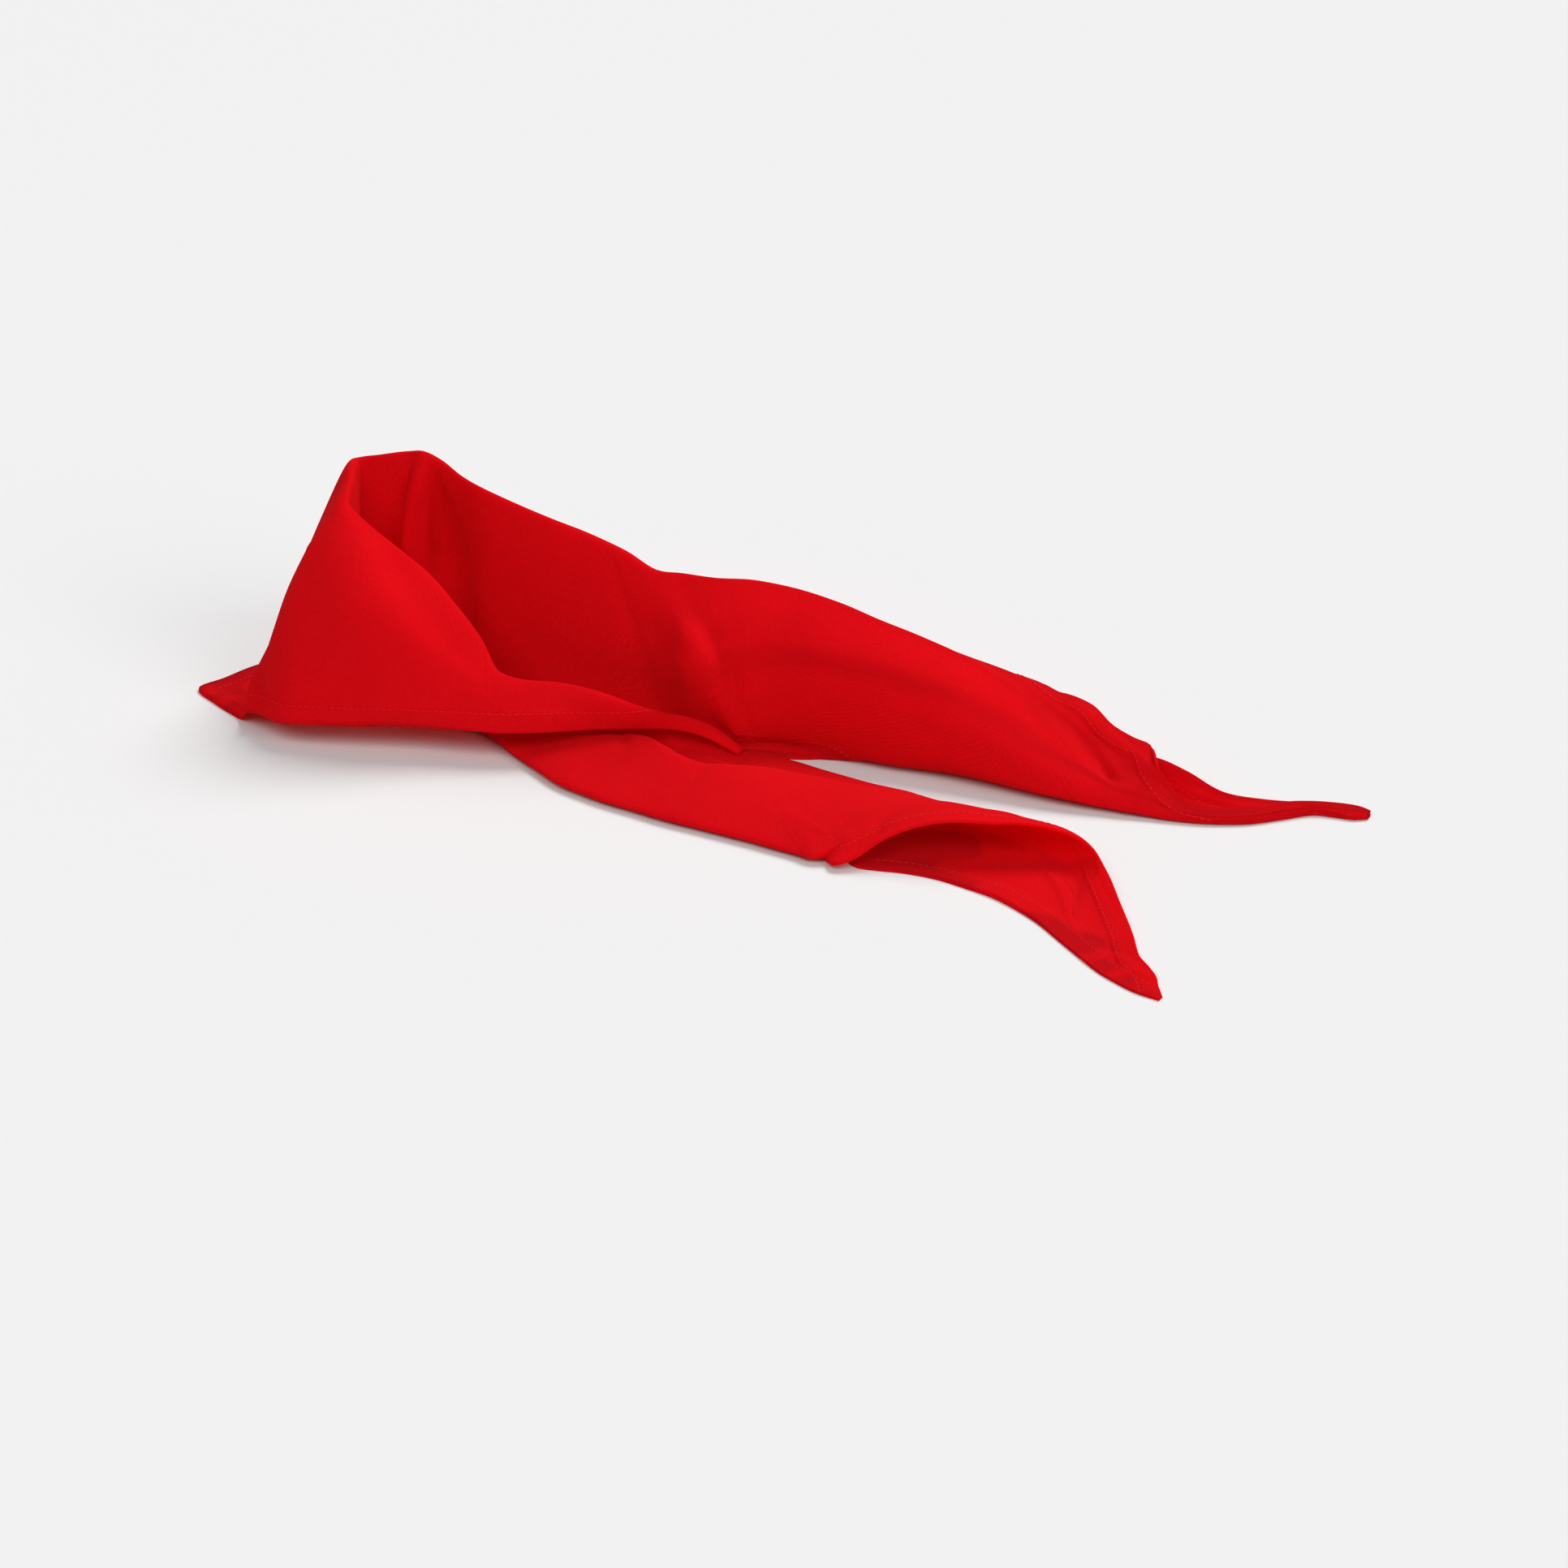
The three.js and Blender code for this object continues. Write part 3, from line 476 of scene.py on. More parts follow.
def smooth(points, steps):
    """A centripetal Catmull-Rom line through points, with the given steps between each two."""
    first = 2 * points[:1] - points[1:2]
    last = 2 * points[-1:] - points[-2:-1]
    padded = np.concatenate([first, points, last])
    gaps = np.sqrt(np.linalg.norm(np.diff(padded, axis=0), axis=-1, keepdims=True))
    gaps = np.maximum(gaps, 0.01)
    line = []
    for i, count in enumerate(steps):
        p0, p1, p2, p3 = padded[i : i + 4]
        d0, d1, d2 = gaps[i : i + 3]
        start = d1 * ((p1 - p0) / d0 - (p2 - p0) / (d0 + d1) + (p2 - p1) / d1)
        end = d1 * ((p2 - p1) / d1 - (p3 - p1) / (d1 + d2) + (p3 - p2) / d2)
        for t in np.arange(count) / count:
            line.append(
                p1
                + start * t
                + (3 * (p2 - p1) - 2 * start - end) * t**2
                + (2 * (p1 - p2) + start + end) * t**3
            )
    line.append(points[-1])
    return np.array(line)


def loft(tail, rest, spacing):
    """Stations along the cloth, and the two between which the hem's layer is slit."""
    rows = np.array(tail + rest)
    widest = np.linalg.norm(np.diff(rows, axis=0), axis=-1).max(axis=1)
    steps = np.maximum(1, np.round(widest / spacing)).astype(int)
    slit = (steps[: len(tail) - 1].sum(), steps[: len(tail)].sum())
    stations = smooth(rows, steps)
    slit_columns = slice(0, CREST + 1)
    tail_steps, rest_steps = steps[: len(tail) - 1], steps[len(tail) :]
    stations[: slit[0] + 1, slit_columns] = smooth(np.array(tail), tail_steps)[:, slit_columns]
    stations[slit[1] :, slit_columns] = smooth(np.array(rest), rest_steps)[:, slit_columns]
    return stations, slit


def step_of(name):
    """Where a column lies among the steps across the cloth."""
    names = list(STEPS)
    return sum(STEPS[each] for each in names[: names.index(name) + 1]) if name != "hem" else 0


def sheet_faces(count, width, slit):
    """The quads between stations, without those in the slit."""
    i, j = np.meshgrid(np.arange(count - 1), np.arange(width - 1), indexing="ij")
    in_slit = (i >= slit[0]) & (i < slit[1]) & (j < step_of("crest"))
    a = (i * width + j)[~in_slit]
    return np.stack([a, a + 1, a + 1 + width, a + width], axis=1)


def sheet_normals(points, faces):
    a, b, c, d = (points[faces[:, k]] for k in range(4))
    facing_out = np.cross(c - a, d - b)
    normals = np.zeros_like(points)
    for k in range(4):
        np.add.at(normals, faces[:, k], facing_out)
    return normals / np.maximum(np.linalg.norm(normals, axis=1, keepdims=True), 1e-9)


def beside_path(points, normals, path):
    """How far points are from a path as seen along their normals, on which side, and how far on.
    A path further than FOLD_DEPTH above or below the sheet belongs to another wall."""
    distance = np.full(len(points), np.inf)
    on_left = np.zeros(len(points), bool)
    along = np.zeros(len(points))
    for i, (start, end) in enumerate(zip(path[:-1], path[1:])):
        ahead = end - start
        share = np.clip((points - start) @ ahead / (ahead @ ahead), 0, 1)
        gap = start + share[:, None] * ahead - points
        depth = (gap * normals).sum(axis=1, keepdims=True)
        gap -= normals * depth
        length = np.linalg.norm(gap, axis=1)
        nearer = (length < distance) & (np.abs(depth[:, 0]) < FOLD_DEPTH)
        distance[nearer] = length[nearer]
        on_left[nearer] = ((gap * np.cross(ahead, normals)).sum(axis=1) > 0)[nearer]
        along[nearer] = (i + share[nearer]) / (len(path) - 1)
    return distance, on_left, along


def value_along(values, shares):
    """The value at each share of the way through a list of values spaced evenly."""
    return np.interp(shares, np.linspace(0, 1, len(values)), values)


def press_folds(points, faces, width, folds):
    """Raises ridges and presses grooves into the sheet, out of the way of the bend at the crest."""
    normals = sheet_normals(points, faces)
    step = np.arange(len(points)) % width
    for fold in folds:
        first, last = (step_of(name) for name in fold["between"])
        held = np.flatnonzero((step > first) & (step < last))
        path = np.array(fold["path"], float)
        distance, on_left, along = beside_path(points[held], normals[held], path)
        left, right = (value_along(fold[side], along) for side in ("left", "right"))
        share = np.clip(1 - distance / np.where(on_left, left, right), 0, 1)
        shape = share**3 * (share * (share * 6 - 15) + 10)
        rise = value_along(fold["rises"], along) * shape
        if fold["between"][0] == "crest_in":
            rise *= np.clip((step[held] - first) / CREST_FADE, 0, 1)
        points[held] += normals[held] * rise[:, None]


def ripple(points, faces, sizes, heights):
    """Adds the small unevenness that soft cloth has, a noise of each size and height."""
    normals = sheet_normals(points, faces)
    for size, height in zip(sizes, heights):
        shift = [noise.noise(Vector(point) / size) * height for point in points]
        points += normals * np.array(shift)[:, None]


def hem_distance(grid, edge, reach=14):
    """How far each point is from an edge of the sheet, measured to the edge's nearby stations."""
    count = len(grid)
    distance = np.full(grid.shape[:2], np.inf)
    for shift in range(-reach, reach + 1):
        nearby = edge[np.clip(np.arange(count) + shift, 0, count - 1)]
        distance = np.minimum(distance, np.linalg.norm(grid - nearby[:, None], axis=-1))
    return distance


def make_sheet(settings):
    """The cloth's middle surface: its points, its quads, its normals and its measures."""
    tail = [facing(TOWARDS_FRONT, spread_tip(*row)) for row in NEAR_TIP]
    tail += [facing(TOWARDS_FRONT, row) for row in NEAR_TAIL]
    rest = [facing(TOWARDS_FRONT, row) for row in NEAR_COLLAR]
    rest += BACK_COLLAR
    rest += [facing(TOWARDS_BACK, row) for row in FAR_SIDE]
    shaped = [
        [add_bend(add_bend(section_points(row), SILL, SILL_BEND), CREST, CREST_BEND) for row in rows]
        for rows in (tail, rest)
    ]
    stations, slit = loft(*shaped, settings.spacing / MM)
    across = list(STEPS.values())
    grid = smooth(stations.swapaxes(0, 1), across).swapaxes(0, 1)
    count, width = grid.shape[:2]
    faces = sheet_faces(count, width, slit)
    points = grid.reshape(-1, 3)
    press_folds(points, faces, width, FOLDS + SMALL_FOLDS)
    ripple(points, faces, RIPPLE_SIZES, RIPPLE_HEIGHTS)
    resting = settings.thickness / MM / 2
    points[:, 2] = np.maximum(points[:, 2], resting)
    points[:, :2] -= MIDDLE
    grid = points.reshape(count, width, 3)
    edge = np.minimum(hem_distance(grid, grid[:, 0]), hem_distance(grid, grid[:, -1]))
    along = np.zeros((count, width))
    along[1:] = np.linalg.norm(np.diff(grid, axis=0), axis=-1).cumsum(axis=0)
    beside = np.zeros((count, width))
    beside[:, 1:] = np.linalg.norm(np.diff(grid, axis=1), axis=-1).cumsum(axis=1)
    return {
        "grid": grid,
        "faces": faces,
        "normals": sheet_normals(points, faces),
        "edge": edge.ravel(),
        "along": along.ravel(),
        "beside": beside.ravel(),
    }


def rim_faces(faces, count):
    """Closes the wall between the two layers along every edge that one quad only has."""
    starts = faces.ravel()
    ends = faces[:, [1, 2, 3, 0]].ravel()
    sides = set(zip(starts.tolist(), ends.tolist()))
    return [(a, a + count, b + count, b) for a, b in sides if (b, a) not in sides]


def wall(sheet, settings):
    """The points and quads of the cloth with its thickness, which is doubled at the hems."""
    points = sheet["grid"].reshape(-1, 3)
    half = settings.thickness / MM / 2
    hem = settings.hem_width / MM
    doubled = np.clip((hem + HEM_SLOPE / 3 - sheet["edge"]) / HEM_SLOPE, 0, 1)
    offset = sheet["normals"] * (half * (1 + HEM_EXTRA * doubled))[:, None]
    upper, lower = points + offset, points - offset
    for layer in (upper, lower):
        layer[:, 2] = np.maximum(layer[:, 2], 0)
    count = len(points)
    faces = sheet["faces"]
    backs = faces[:, ::-1] + count
    quads = faces.tolist() + backs.tolist() + rim_faces(faces, count)
    return np.concatenate([upper, lower]), quads


def new_mesh_object(name, points, faces, material):
    """A smooth-shaded mesh object from points in millimetres."""
    mesh = bpy.data.meshes.new(name)
    mesh.from_pydata((np.asarray(points) * MM).tolist(), [], faces)
    mesh.materials.append(material)
    mesh.shade_smooth()
    piece = bpy.data.objects.new(name, mesh)
    bpy.context.collection.objects.link(piece)
    return piece


def add_measures(mesh, sheet):
    """Keeps each point's place on the cloth, in millimetres, for the material."""
    for name in ("along", "beside", "edge"):
        layer = mesh.attributes.new(name, "FLOAT", "POINT")
        layer.data.foreach_set("value", np.tile(sheet[name], 2).astype(np.float32))


def seam_line(sheet, from_start, inset):
    """Where the stitching runs, a set distance inside one edge: points and normals."""
    grid = sheet["grid"]
    count, width = grid.shape[:2]
    normals = sheet["normals"].reshape(count, width, 3)
    edge = grid[:, 0] if from_start else grid[:, -1]
    distance = hem_distance(grid, edge)
    places, outward = [], []
    for i in range(count):
        order = range(width) if from_start else range(width - 1, -1, -1)
        for here, ahead in zip(order, list(order)[1:]):
            near, far = distance[i, here], distance[i, ahead]
            if near <= inset < far:
                share = (inset - near) / (far - near)
                places.append(grid[i, here] * (1 - share) + grid[i, ahead] * share)
                outward.append(normals[i, here])
                break
        else:
            places.append(None)
            outward.append(None)
    return places, outward


def stitches_along(places, outward, settings):
    """The middle, direction and normal of each stitch of one seam."""
    pitch = settings.stitch_pitch / MM
    spare = pitch / 2
    found = []
    for here, there, normal in zip(places, places[1:], outward):
        if here is None or there is None or np.linalg.norm(there - here) > SEAM_BREAK:
            continue
        step = there - here
        length = np.linalg.norm(step)
        if length < 1e-6:
            continue
        while spare < length:
            found.append((here + step * spare / length, step / length, normal))
            spare += pitch
        spare -= length
    return found


def stitch_mesh(stitches, settings):
    """A small bead of thread for each stitch, on both faces of the cloth."""
    half = settings.stitch_length / MM / 2
    radius = settings.thread / MM / 2
    lift = settings.thickness / MM / 2 * (1 + HEM_EXTRA)
    rings = BEAD_RINGS
    sides = BEAD_SIDES
    points, faces = [], []
    for middle, ahead, normal in stitches:
        beside = np.cross(ahead, normal)
        for face in (1, -1):
            base = len(points)
            for place, share in rings:
                centre = middle + ahead * half * place + normal * face * (lift + radius * BEAD_LIFT * share)
                for k in range(sides):
                    turn = math.tau * k / sides
                    spoke = beside * math.cos(turn) + normal * math.sin(turn)
                    points.append(centre + spoke * radius * share)
            for ring in range(len(rings) - 1):
                for k in range(sides):
                    a = base + ring * sides + k
                    b = base + ring * sides + (k + 1) % sides
                    faces.append((a, b, b + sides, a + sides))
            faces.append(tuple(range(base + sides - 1, base - 1, -1)))
            faces.append(tuple(range(len(points) - sides, len(points))))
    points = np.array(points)
    points[:, 2] = np.maximum(points[:, 2], 0)
    return points, faces


# Materials


def colour(hex_code):
    """The linear colour of an sRGB hex code, with full opacity."""
    channels = [int(hex_code[i : i + 2], 16) / 255 for i in (1, 3, 5)]
    linear = [c / 12.92 if c <= 0.04045 else ((c + 0.055) / 1.055) ** 2.4 for c in channels]
    return (*linear, 1.0)


def add_node(tree, kind, inputs, out=0, **settings):
    """Adds a node with its properties, its inputs set or linked, and returns one of its outputs."""
    node = tree.nodes.new(kind)
    for name, value in settings.items():
        setattr(node, name, value)
    for socket, value in inputs.items():
        if isinstance(value, bpy.types.NodeSocket):
            tree.links.new(value, node.inputs[socket])
        else:
            node.inputs[socket].default_value = value
    return node.outputs[out] if node.outputs else None


def new_material(name):
    material = bpy.data.materials.new(name)
    material.use_nodes = True
    material.node_tree.nodes.clear()
    return material, material.node_tree


def cotton_material(settings):
    """Dyed plain-woven cotton. It is matte, with a nap of short lint that lightens its edges, threads
    that vary in thickness, and a turned hem, thicker than the rest, that its stitches pull in."""
    material, tree = new_material("red_plain_woven_cotton")
    math_node, mix, mapped = "ShaderNodeMath", "ShaderNodeMix", "ShaderNodeMapRange"
    hem_width, seam_inset = settings.hem_width / MM, settings.seam_inset / MM
    along, beside, edge = (
        add_node(tree, "ShaderNodeAttribute", {}, out="Fac", attribute_name=name)
        for name in ("along", "beside", "edge")
    )

    # Threads pass over and under each other, one by one. They are drawn twice as coarse as real
    # ones, so that they show.
    turn = math.pi / THREAD_PITCH
    warp_turn = add_node(tree, math_node, {0: along, 1: turn}, operation="MULTIPLY")
    weft_turn = add_node(tree, math_node, {0: beside, 1: turn}, operation="MULTIPLY")
    warp = add_node(tree, math_node, {0: warp_turn}, operation="SINE")
    weft = add_node(tree, math_node, {0: weft_turn}, operation="SINE")
    crossing = add_node(tree, math_node, {0: warp, 1: weft}, operation="MULTIPLY")
    warp_over = add_node(tree, math_node, {0: crossing, 1: 0.0}, operation="GREATER_THAN")
    warp_top = add_node(tree, math_node, {0: warp}, operation="ABSOLUTE")
    weft_top = add_node(tree, math_node, {0: weft}, operation="ABSOLUTE")
    weave = add_node(tree, mix, {0: warp_over, 2: weft_top, 3: warp_top})

    # Thick and thin stretches of thread, long one way and narrow the other.
    on_cloth = add_node(tree, "ShaderNodeCombineXYZ", {"X": along, "Y": beside})
    slubs = [
        add_node(tree, "ShaderNodeTexNoise", {
            "Vector": add_node(tree, "ShaderNodeVectorMath", {0: on_cloth, 1: stretch},
                               operation="MULTIPLY"),
            "Scale": 1.0, "Detail": 1.0})
        for stretch in (SLUB_ALONG, SLUB_BESIDE)
    ]
    slub = add_node(tree, math_node, {0: slubs[0], 1: slubs[1]}, operation="ADD")
    lint = add_node(tree, "ShaderNodeTexNoise", {"Vector": on_cloth, "Scale": LINT_SCALE, "Detail": 3.0})
    wear = add_node(tree, "ShaderNodeTexNoise", {"Vector": on_cloth, "Scale": WEAR_SCALE, "Detail": 3.0})

    # The hem stands up from the single cloth, and its seam lies in a shallow dip with puckers.
    single, double = (hem_width + shift for shift in HEM_STEP)
    hem = add_node(tree, mapped, {"Value": edge, "From Min": single, "From Max": double},
        interpolation_type="SMOOTHSTEP")
    from_seam = add_node(tree, math_node, {0: edge, 1: seam_inset}, operation="SUBTRACT")
    seam_gap = add_node(tree, math_node, {0: from_seam}, operation="ABSOLUTE")
    seam = add_node(tree, mapped, {
        "Value": seam_gap, "From Min": SEAM_DIP_REACH, "From Max": 0.0},
        interpolation_type="SMOOTHSTEP")
    pucker_along = add_node(tree, math_node, {0: along, 1: 1 / PUCKER_PITCH}, operation="MULTIPLY")
    pucker_out = add_node(tree, math_node, {0: edge, 1: 1 / PUCKER_REACH}, operation="MULTIPLY")
    pucker_place = add_node(tree, "ShaderNodeCombineXYZ", {"X": pucker_along, "Y": pucker_out})
    pucker_noise = add_node(tree, "ShaderNodeTexNoise", {"Vector": pucker_place, "Scale": 1.0})
    near_hem = add_node(tree, mapped, {
        "Value": edge, "From Min": PUCKER_REACH, "From Max": PUCKER_REACH / 2},
        interpolation_type="SMOOTHSTEP")
    puckers = add_node(tree, math_node, {0: pucker_noise, 1: near_hem}, operation="MULTIPLY")

    height = add_node(tree, math_node, {0: weave, 1: WEAVE_HEIGHT}, operation="MULTIPLY")
    reliefs = (
        (slub, SLUB_HEIGHT), (lint, LINT_HEIGHT), (hem, HEM_HEIGHT), (seam, -SEAM_DIP),
        (puckers, PUCKER_HEIGHT),
    )
    for relief, size in reliefs:
        height = add_node(tree, math_node, {0: relief, 1: size, 2: height}, operation="MULTIPLY_ADD")
    bump = add_node(tree, "ShaderNodeBump", {"Strength": 1.0, "Distance": MM, "Height": height})

    # The dye is lighter in random patches of slubs, raised nap and wear, and deeper along the seam's dip,
    # where that darkening is painted shade.
    tone = add_node(tree, math_node, {0: slub, 1: SLUB_TONE, 2: 0.0}, operation="MULTIPLY_ADD")
    for shade, weight in ((lint, LINT_TONE), (wear, WEAR_TONE), (seam, SEAM_SHADE_TONE)):
        tone = add_node(tree, math_node, {0: shade, 1: weight, 2: tone}, operation="MULTIPLY_ADD")
    deep, light = TONE_RANGE
    lightness = add_node(tree, mapped, {"Value": tone, "From Min": deep, "From Max": light})
    dyed = add_node(tree, mix, {
        0: lightness, 6: (*settings.dye_deep, 1.0), 7: (*settings.dye_light, 1.0)},
        out=2, data_type="RGBA")
    cloth = add_node(tree, "ShaderNodeBsdfPrincipled", {
        "Base Color": dyed, "Roughness": 0.92, "Specular IOR Level": 0.04, "Normal": bump,
        "Sheen Weight": LINT_SHEEN, "Sheen Roughness": 0.45, "Sheen Tint": colour(LINT)})
    glow = add_node(tree, "ShaderNodeBsdfTranslucent", {"Color": dyed, "Normal": bump})
    mixed = add_node(tree, "ShaderNodeMixShader", {0: LIGHT_THROUGH, 1: cloth, 2: glow})
    add_node(tree, "ShaderNodeOutputMaterial", {"Surface": mixed})
    return material


def thread_material():
    """Twisted polyester sewing thread, which shines a little more than the cloth."""
    material, tree = new_material("red_polyester_thread")
    place = add_node(tree, "ShaderNodeTexCoord", {}, out="Object")
    twist = add_node(tree, "ShaderNodeTexNoise", {"Vector": place, "Scale": 1 / (TWIST_PITCH * MM)})
    dyed = add_node(tree, "ShaderNodeMix", {
        0: twist, 6: colour(THREAD_DEEP), 7: colour(THREAD_LIGHT)}, out=2, data_type="RGBA")
    bump = add_node(tree, "ShaderNodeBump", {"Strength": 0.5, "Distance": 0.1 * MM, "Height": twist})
    thread = add_node(tree, "ShaderNodeBsdfPrincipled", {
        "Base Color": dyed, "Roughness": 0.6, "Specular IOR Level": 0.2, "Normal": bump})
    add_node(tree, "ShaderNodeOutputMaterial", {"Surface": thread})
    return material


def paper_material():
    """Matte pale grey studio paper, which takes a soft shadow and shows no gloss."""
    material, tree = new_material("pale_grey_studio_paper")
    place = add_node(tree, "ShaderNodeTexCoord", {}, out="Object")
    grain = add_node(tree, "ShaderNodeTexNoise", {"Vector": place, "Scale": 1 / (PAPER_GRAIN * MM)})
    bump = add_node(tree, "ShaderNodeBump", {"Strength": 0.1, "Distance": 0.05 * MM, "Height": grain})
    paper = add_node(tree, "ShaderNodeBsdfPrincipled", {
        "Base Color": colour(PAPER), "Roughness": 0.95, "Specular IOR Level": 0.05, "Normal": bump})
    add_node(tree, "ShaderNodeOutputMaterial", {"Surface": paper})
    return material


# Stage


def direction(azimuth, elevation):
    """The way from the scarf to a place: azimuth 0 is in front, at -Y, and 90 is at +X."""
    a, e = math.radians(azimuth), math.radians(elevation)
    return Vector((math.sin(a) * math.cos(e), -math.cos(a) * math.cos(e), math.sin(e)))


def add_camera(settings):
    """The camera at the photo's angle, aimed at the point that the tables are measured from."""
    lens = bpy.data.cameras.new("photo_camera")
    lens.lens = settings.lens
    lens.sensor_width = settings.sensor
    camera = bpy.data.objects.new("photo_camera", lens)
    bpy.context.collection.objects.link(camera)
    back = direction(settings.azimuth, settings.elevation)
    aim = Vector((-MIDDLE[0] * MM, -MIDDLE[1] * MM, 0.0))
    camera.location = aim + back * settings.distance
    camera.rotation_mode = "QUATERNION"
    camera.rotation_quaternion = back.to_track_quat("Z", "Y")
    bpy.context.scene.camera = camera
    return camera


def add_sun(name, azimuth, elevation, strength):
    """A wide soft light that falls evenly on the whole floor."""
    sun = bpy.data.lights.new(name, "SUN")
    sun.energy = strength
    sun.angle = math.radians(SUN_SPREAD)
    lamp = bpy.data.objects.new(name, sun)
    bpy.context.collection.objects.link(lamp)
    lamp.rotation_mode = "QUATERNION"
    lamp.rotation_quaternion = direction(azimuth, elevation).to_track_quat("Z", "Y")
    return lamp


def add_floor(size):
    half = size / 2
    corners = [(-half, -half, 0), (half, -half, 0), (half, half, 0), (-half, half, 0)]
    mesh = bpy.data.meshes.new("studio_floor")
    mesh.from_pydata(corners, [], [(0, 1, 2, 3)])
    mesh.materials.append(paper_material())
    floor = bpy.data.objects.new("studio_floor", mesh)
    bpy.context.collection.objects.link(floor)
    return floor


def light_room(strength):
    world = bpy.data.worlds.new("soft_studio")
    world.use_nodes = True
    background = world.node_tree.nodes["Background"]
    background.inputs["Color"].default_value = (1.0, 1.0, 1.0, 1.0)
    background.inputs["Strength"].default_value = strength
    bpy.context.scene.world = world


# Add-on


class NeckerchiefClothSettings(bpy.types.PropertyGroup):
    """Sizes of the cloth and its hems."""

    spacing: bpy.props.FloatProperty(
        name="Spacing", description="Distance between stations along the cloth",
        default=2.7 * MM, min=1.0 * MM, unit="LENGTH")
    thickness: bpy.props.FloatProperty(
        name="Thickness", description="Thickness of one layer of cloth",
        default=0.9 * MM, min=0.3 * MM, unit="LENGTH")
    hem_width: bpy.props.FloatProperty(
        name="Hem width", description="Width of the turned hem",
        default=HEM_WIDTH * MM, min=3.0 * MM, unit="LENGTH")
    seam_inset: bpy.props.FloatProperty(
        name="Seam inset", description="Distance of the stitching from the edge",
        default=SEAM_INSET * MM, min=1.0 * MM, unit="LENGTH")
    stitch_pitch: bpy.props.FloatProperty(
        name="Stitch pitch", description="Distance from one stitch to the next",
        default=3.0 * MM, min=1.0 * MM, unit="LENGTH")
    stitch_length: bpy.props.FloatProperty(
        name="Stitch length", description="Length of the thread that shows in a stitch",
        default=2.3 * MM, min=0.5 * MM, unit="LENGTH")
    thread: bpy.props.FloatProperty(
        name="Thread", description="Diameter of the sewing thread",
        default=0.35 * MM, min=0.1 * MM, unit="LENGTH")
    dye_deep: bpy.props.FloatVectorProperty(
        name="Deep dye", description="Colour of the cloth where it is dense",
        default=colour(DYE_DEEP)[:3], min=0.0, max=1.0, subtype="COLOR")
    dye_light: bpy.props.FloatVectorProperty(
        name="Light dye", description="Colour of the cloth where its nap is raised",
        default=colour(DYE_LIGHT)[:3], min=0.0, max=1.0, subtype="COLOR")


class NeckerchiefStageSettings(bpy.types.PropertyGroup):
    """The floor, the light and the camera."""

    azimuth: bpy.props.FloatProperty(
        name="Azimuth", description="Camera's angle round the scarf, in degrees from -Y",
        default=27.0)
    elevation: bpy.props.FloatProperty(
        name="Elevation", description="Camera's angle above the floor, in degrees", default=25.0)
    distance: bpy.props.FloatProperty(
        name="Distance", description="Camera's distance from the point it is aimed at",
        default=1.524, unit="LENGTH")
    lens: bpy.props.FloatProperty(
        name="Lens", description="Focal length, in millimetres", default=80.0)
    sensor: bpy.props.FloatProperty(
        name="Sensor", description="Width of the sensor, in millimetres", default=36.0)
    floor_size: bpy.props.FloatProperty(
        name="Floor", description="Length of each side of the floor", default=40.0, unit="LENGTH")


class NECKERCHIEF_OT_cloth(bpy.types.Operator):
    """Make the folded cloth, in place of the plain solid"""

    bl_idname = "neckerchief.cloth"
    bl_label = "Cloth"
    bl_options = {"REGISTER", "UNDO"}

    def execute(self, context):
        settings = context.scene.neckerchief_cloth
        sheet = make_sheet(settings)
        points, faces = wall(sheet, settings)
        piece = new_mesh_object("neckerchief", points, faces, cotton_material(settings))
        add_measures(piece.data, sheet)
        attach(piece, "root")
        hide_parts("scarf")
        return {"FINISHED"}


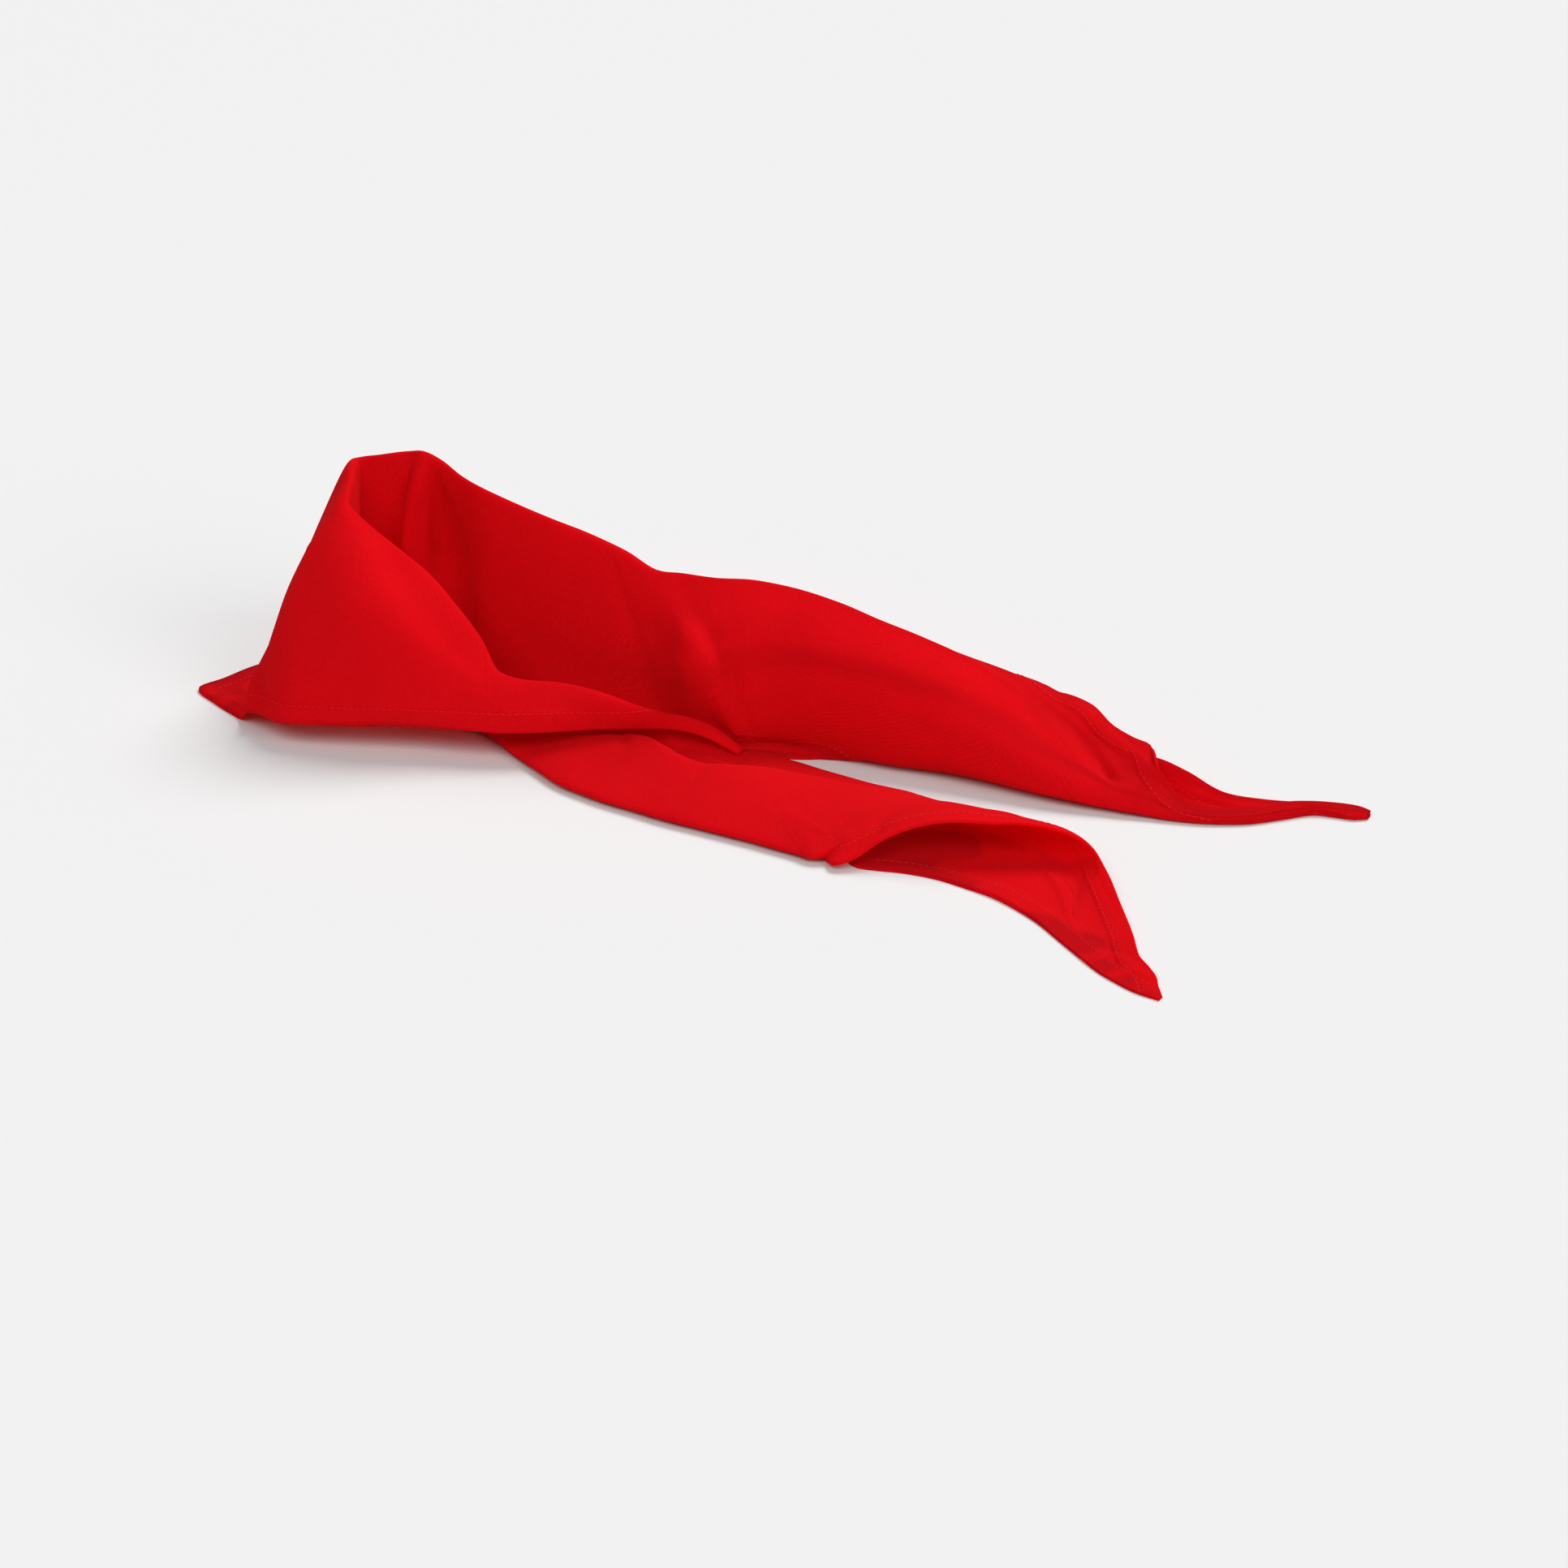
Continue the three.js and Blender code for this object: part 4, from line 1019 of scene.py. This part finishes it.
class NECKERCHIEF_OT_stitching(bpy.types.Operator):
    """Sew the stitches that hold the hems"""

    bl_idname = "neckerchief.stitching"
    bl_label = "Stitching"
    bl_options = {"REGISTER", "UNDO"}

    def execute(self, context):
        settings = context.scene.neckerchief_cloth
        sheet = make_sheet(settings)
        stitches = []
        for from_start in (True, False):
            places, outward = seam_line(sheet, from_start, settings.seam_inset / MM)
            stitches += stitches_along(places, outward, settings)
        points, faces = stitch_mesh(stitches, settings)
        seams = new_mesh_object("hem_stitching", points, faces, thread_material())
        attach(seams, "root")
        return {"FINISHED"}


class NECKERCHIEF_OT_stage(bpy.types.Operator):
    """Set up the floor, the soft light and the camera"""

    bl_idname = "neckerchief.stage"
    bl_label = "Stage"
    bl_options = {"REGISTER", "UNDO"}

    def execute(self, context):
        settings = context.scene.neckerchief_stage
        add_floor(settings.floor_size)
        light_room(ROOM_LIGHT)
        for sun in SUNS:
            add_sun(*sun)
        add_camera(settings)
        context.scene.view_settings.view_transform = "Standard"
        return {"FINISHED"}


class NECKERCHIEF_PT_panel(bpy.types.Panel):
    """The pieces and their sizes"""

    bl_idname = "NECKERCHIEF_PT_panel"
    bl_label = "Neckerchief"
    bl_space_type = "VIEW_3D"
    bl_region_type = "UI"
    bl_category = "Neckerchief"

    def draw(self, context):
        groups = (context.scene.neckerchief_cloth, context.scene.neckerchief_stage)
        for group in groups:
            for name in group.__annotations__:
                self.layout.prop(group, name)
        for operator in OPERATORS:
            self.layout.operator(operator.bl_idname)


OPERATORS = (NECKERCHIEF_OT_cloth, NECKERCHIEF_OT_stitching, NECKERCHIEF_OT_stage)
CLASSES = (NeckerchiefClothSettings, NeckerchiefStageSettings, *OPERATORS, NECKERCHIEF_PT_panel)


def register():
    for each in CLASSES:
        bpy.utils.register_class(each)
    bpy.types.Scene.neckerchief_cloth = bpy.props.PointerProperty(type=NeckerchiefClothSettings)
    bpy.types.Scene.neckerchief_stage = bpy.props.PointerProperty(type=NeckerchiefStageSettings)


def unregister():
    del bpy.types.Scene.neckerchief_stage
    del bpy.types.Scene.neckerchief_cloth
    for each in reversed(CLASSES):
        bpy.utils.unregister_class(each)


def main():
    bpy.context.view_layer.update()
    register()
    bpy.ops.neckerchief.cloth()
    bpy.ops.neckerchief.stitching()
    bpy.ops.neckerchief.stage()


if __name__ == "__main__":
    main()
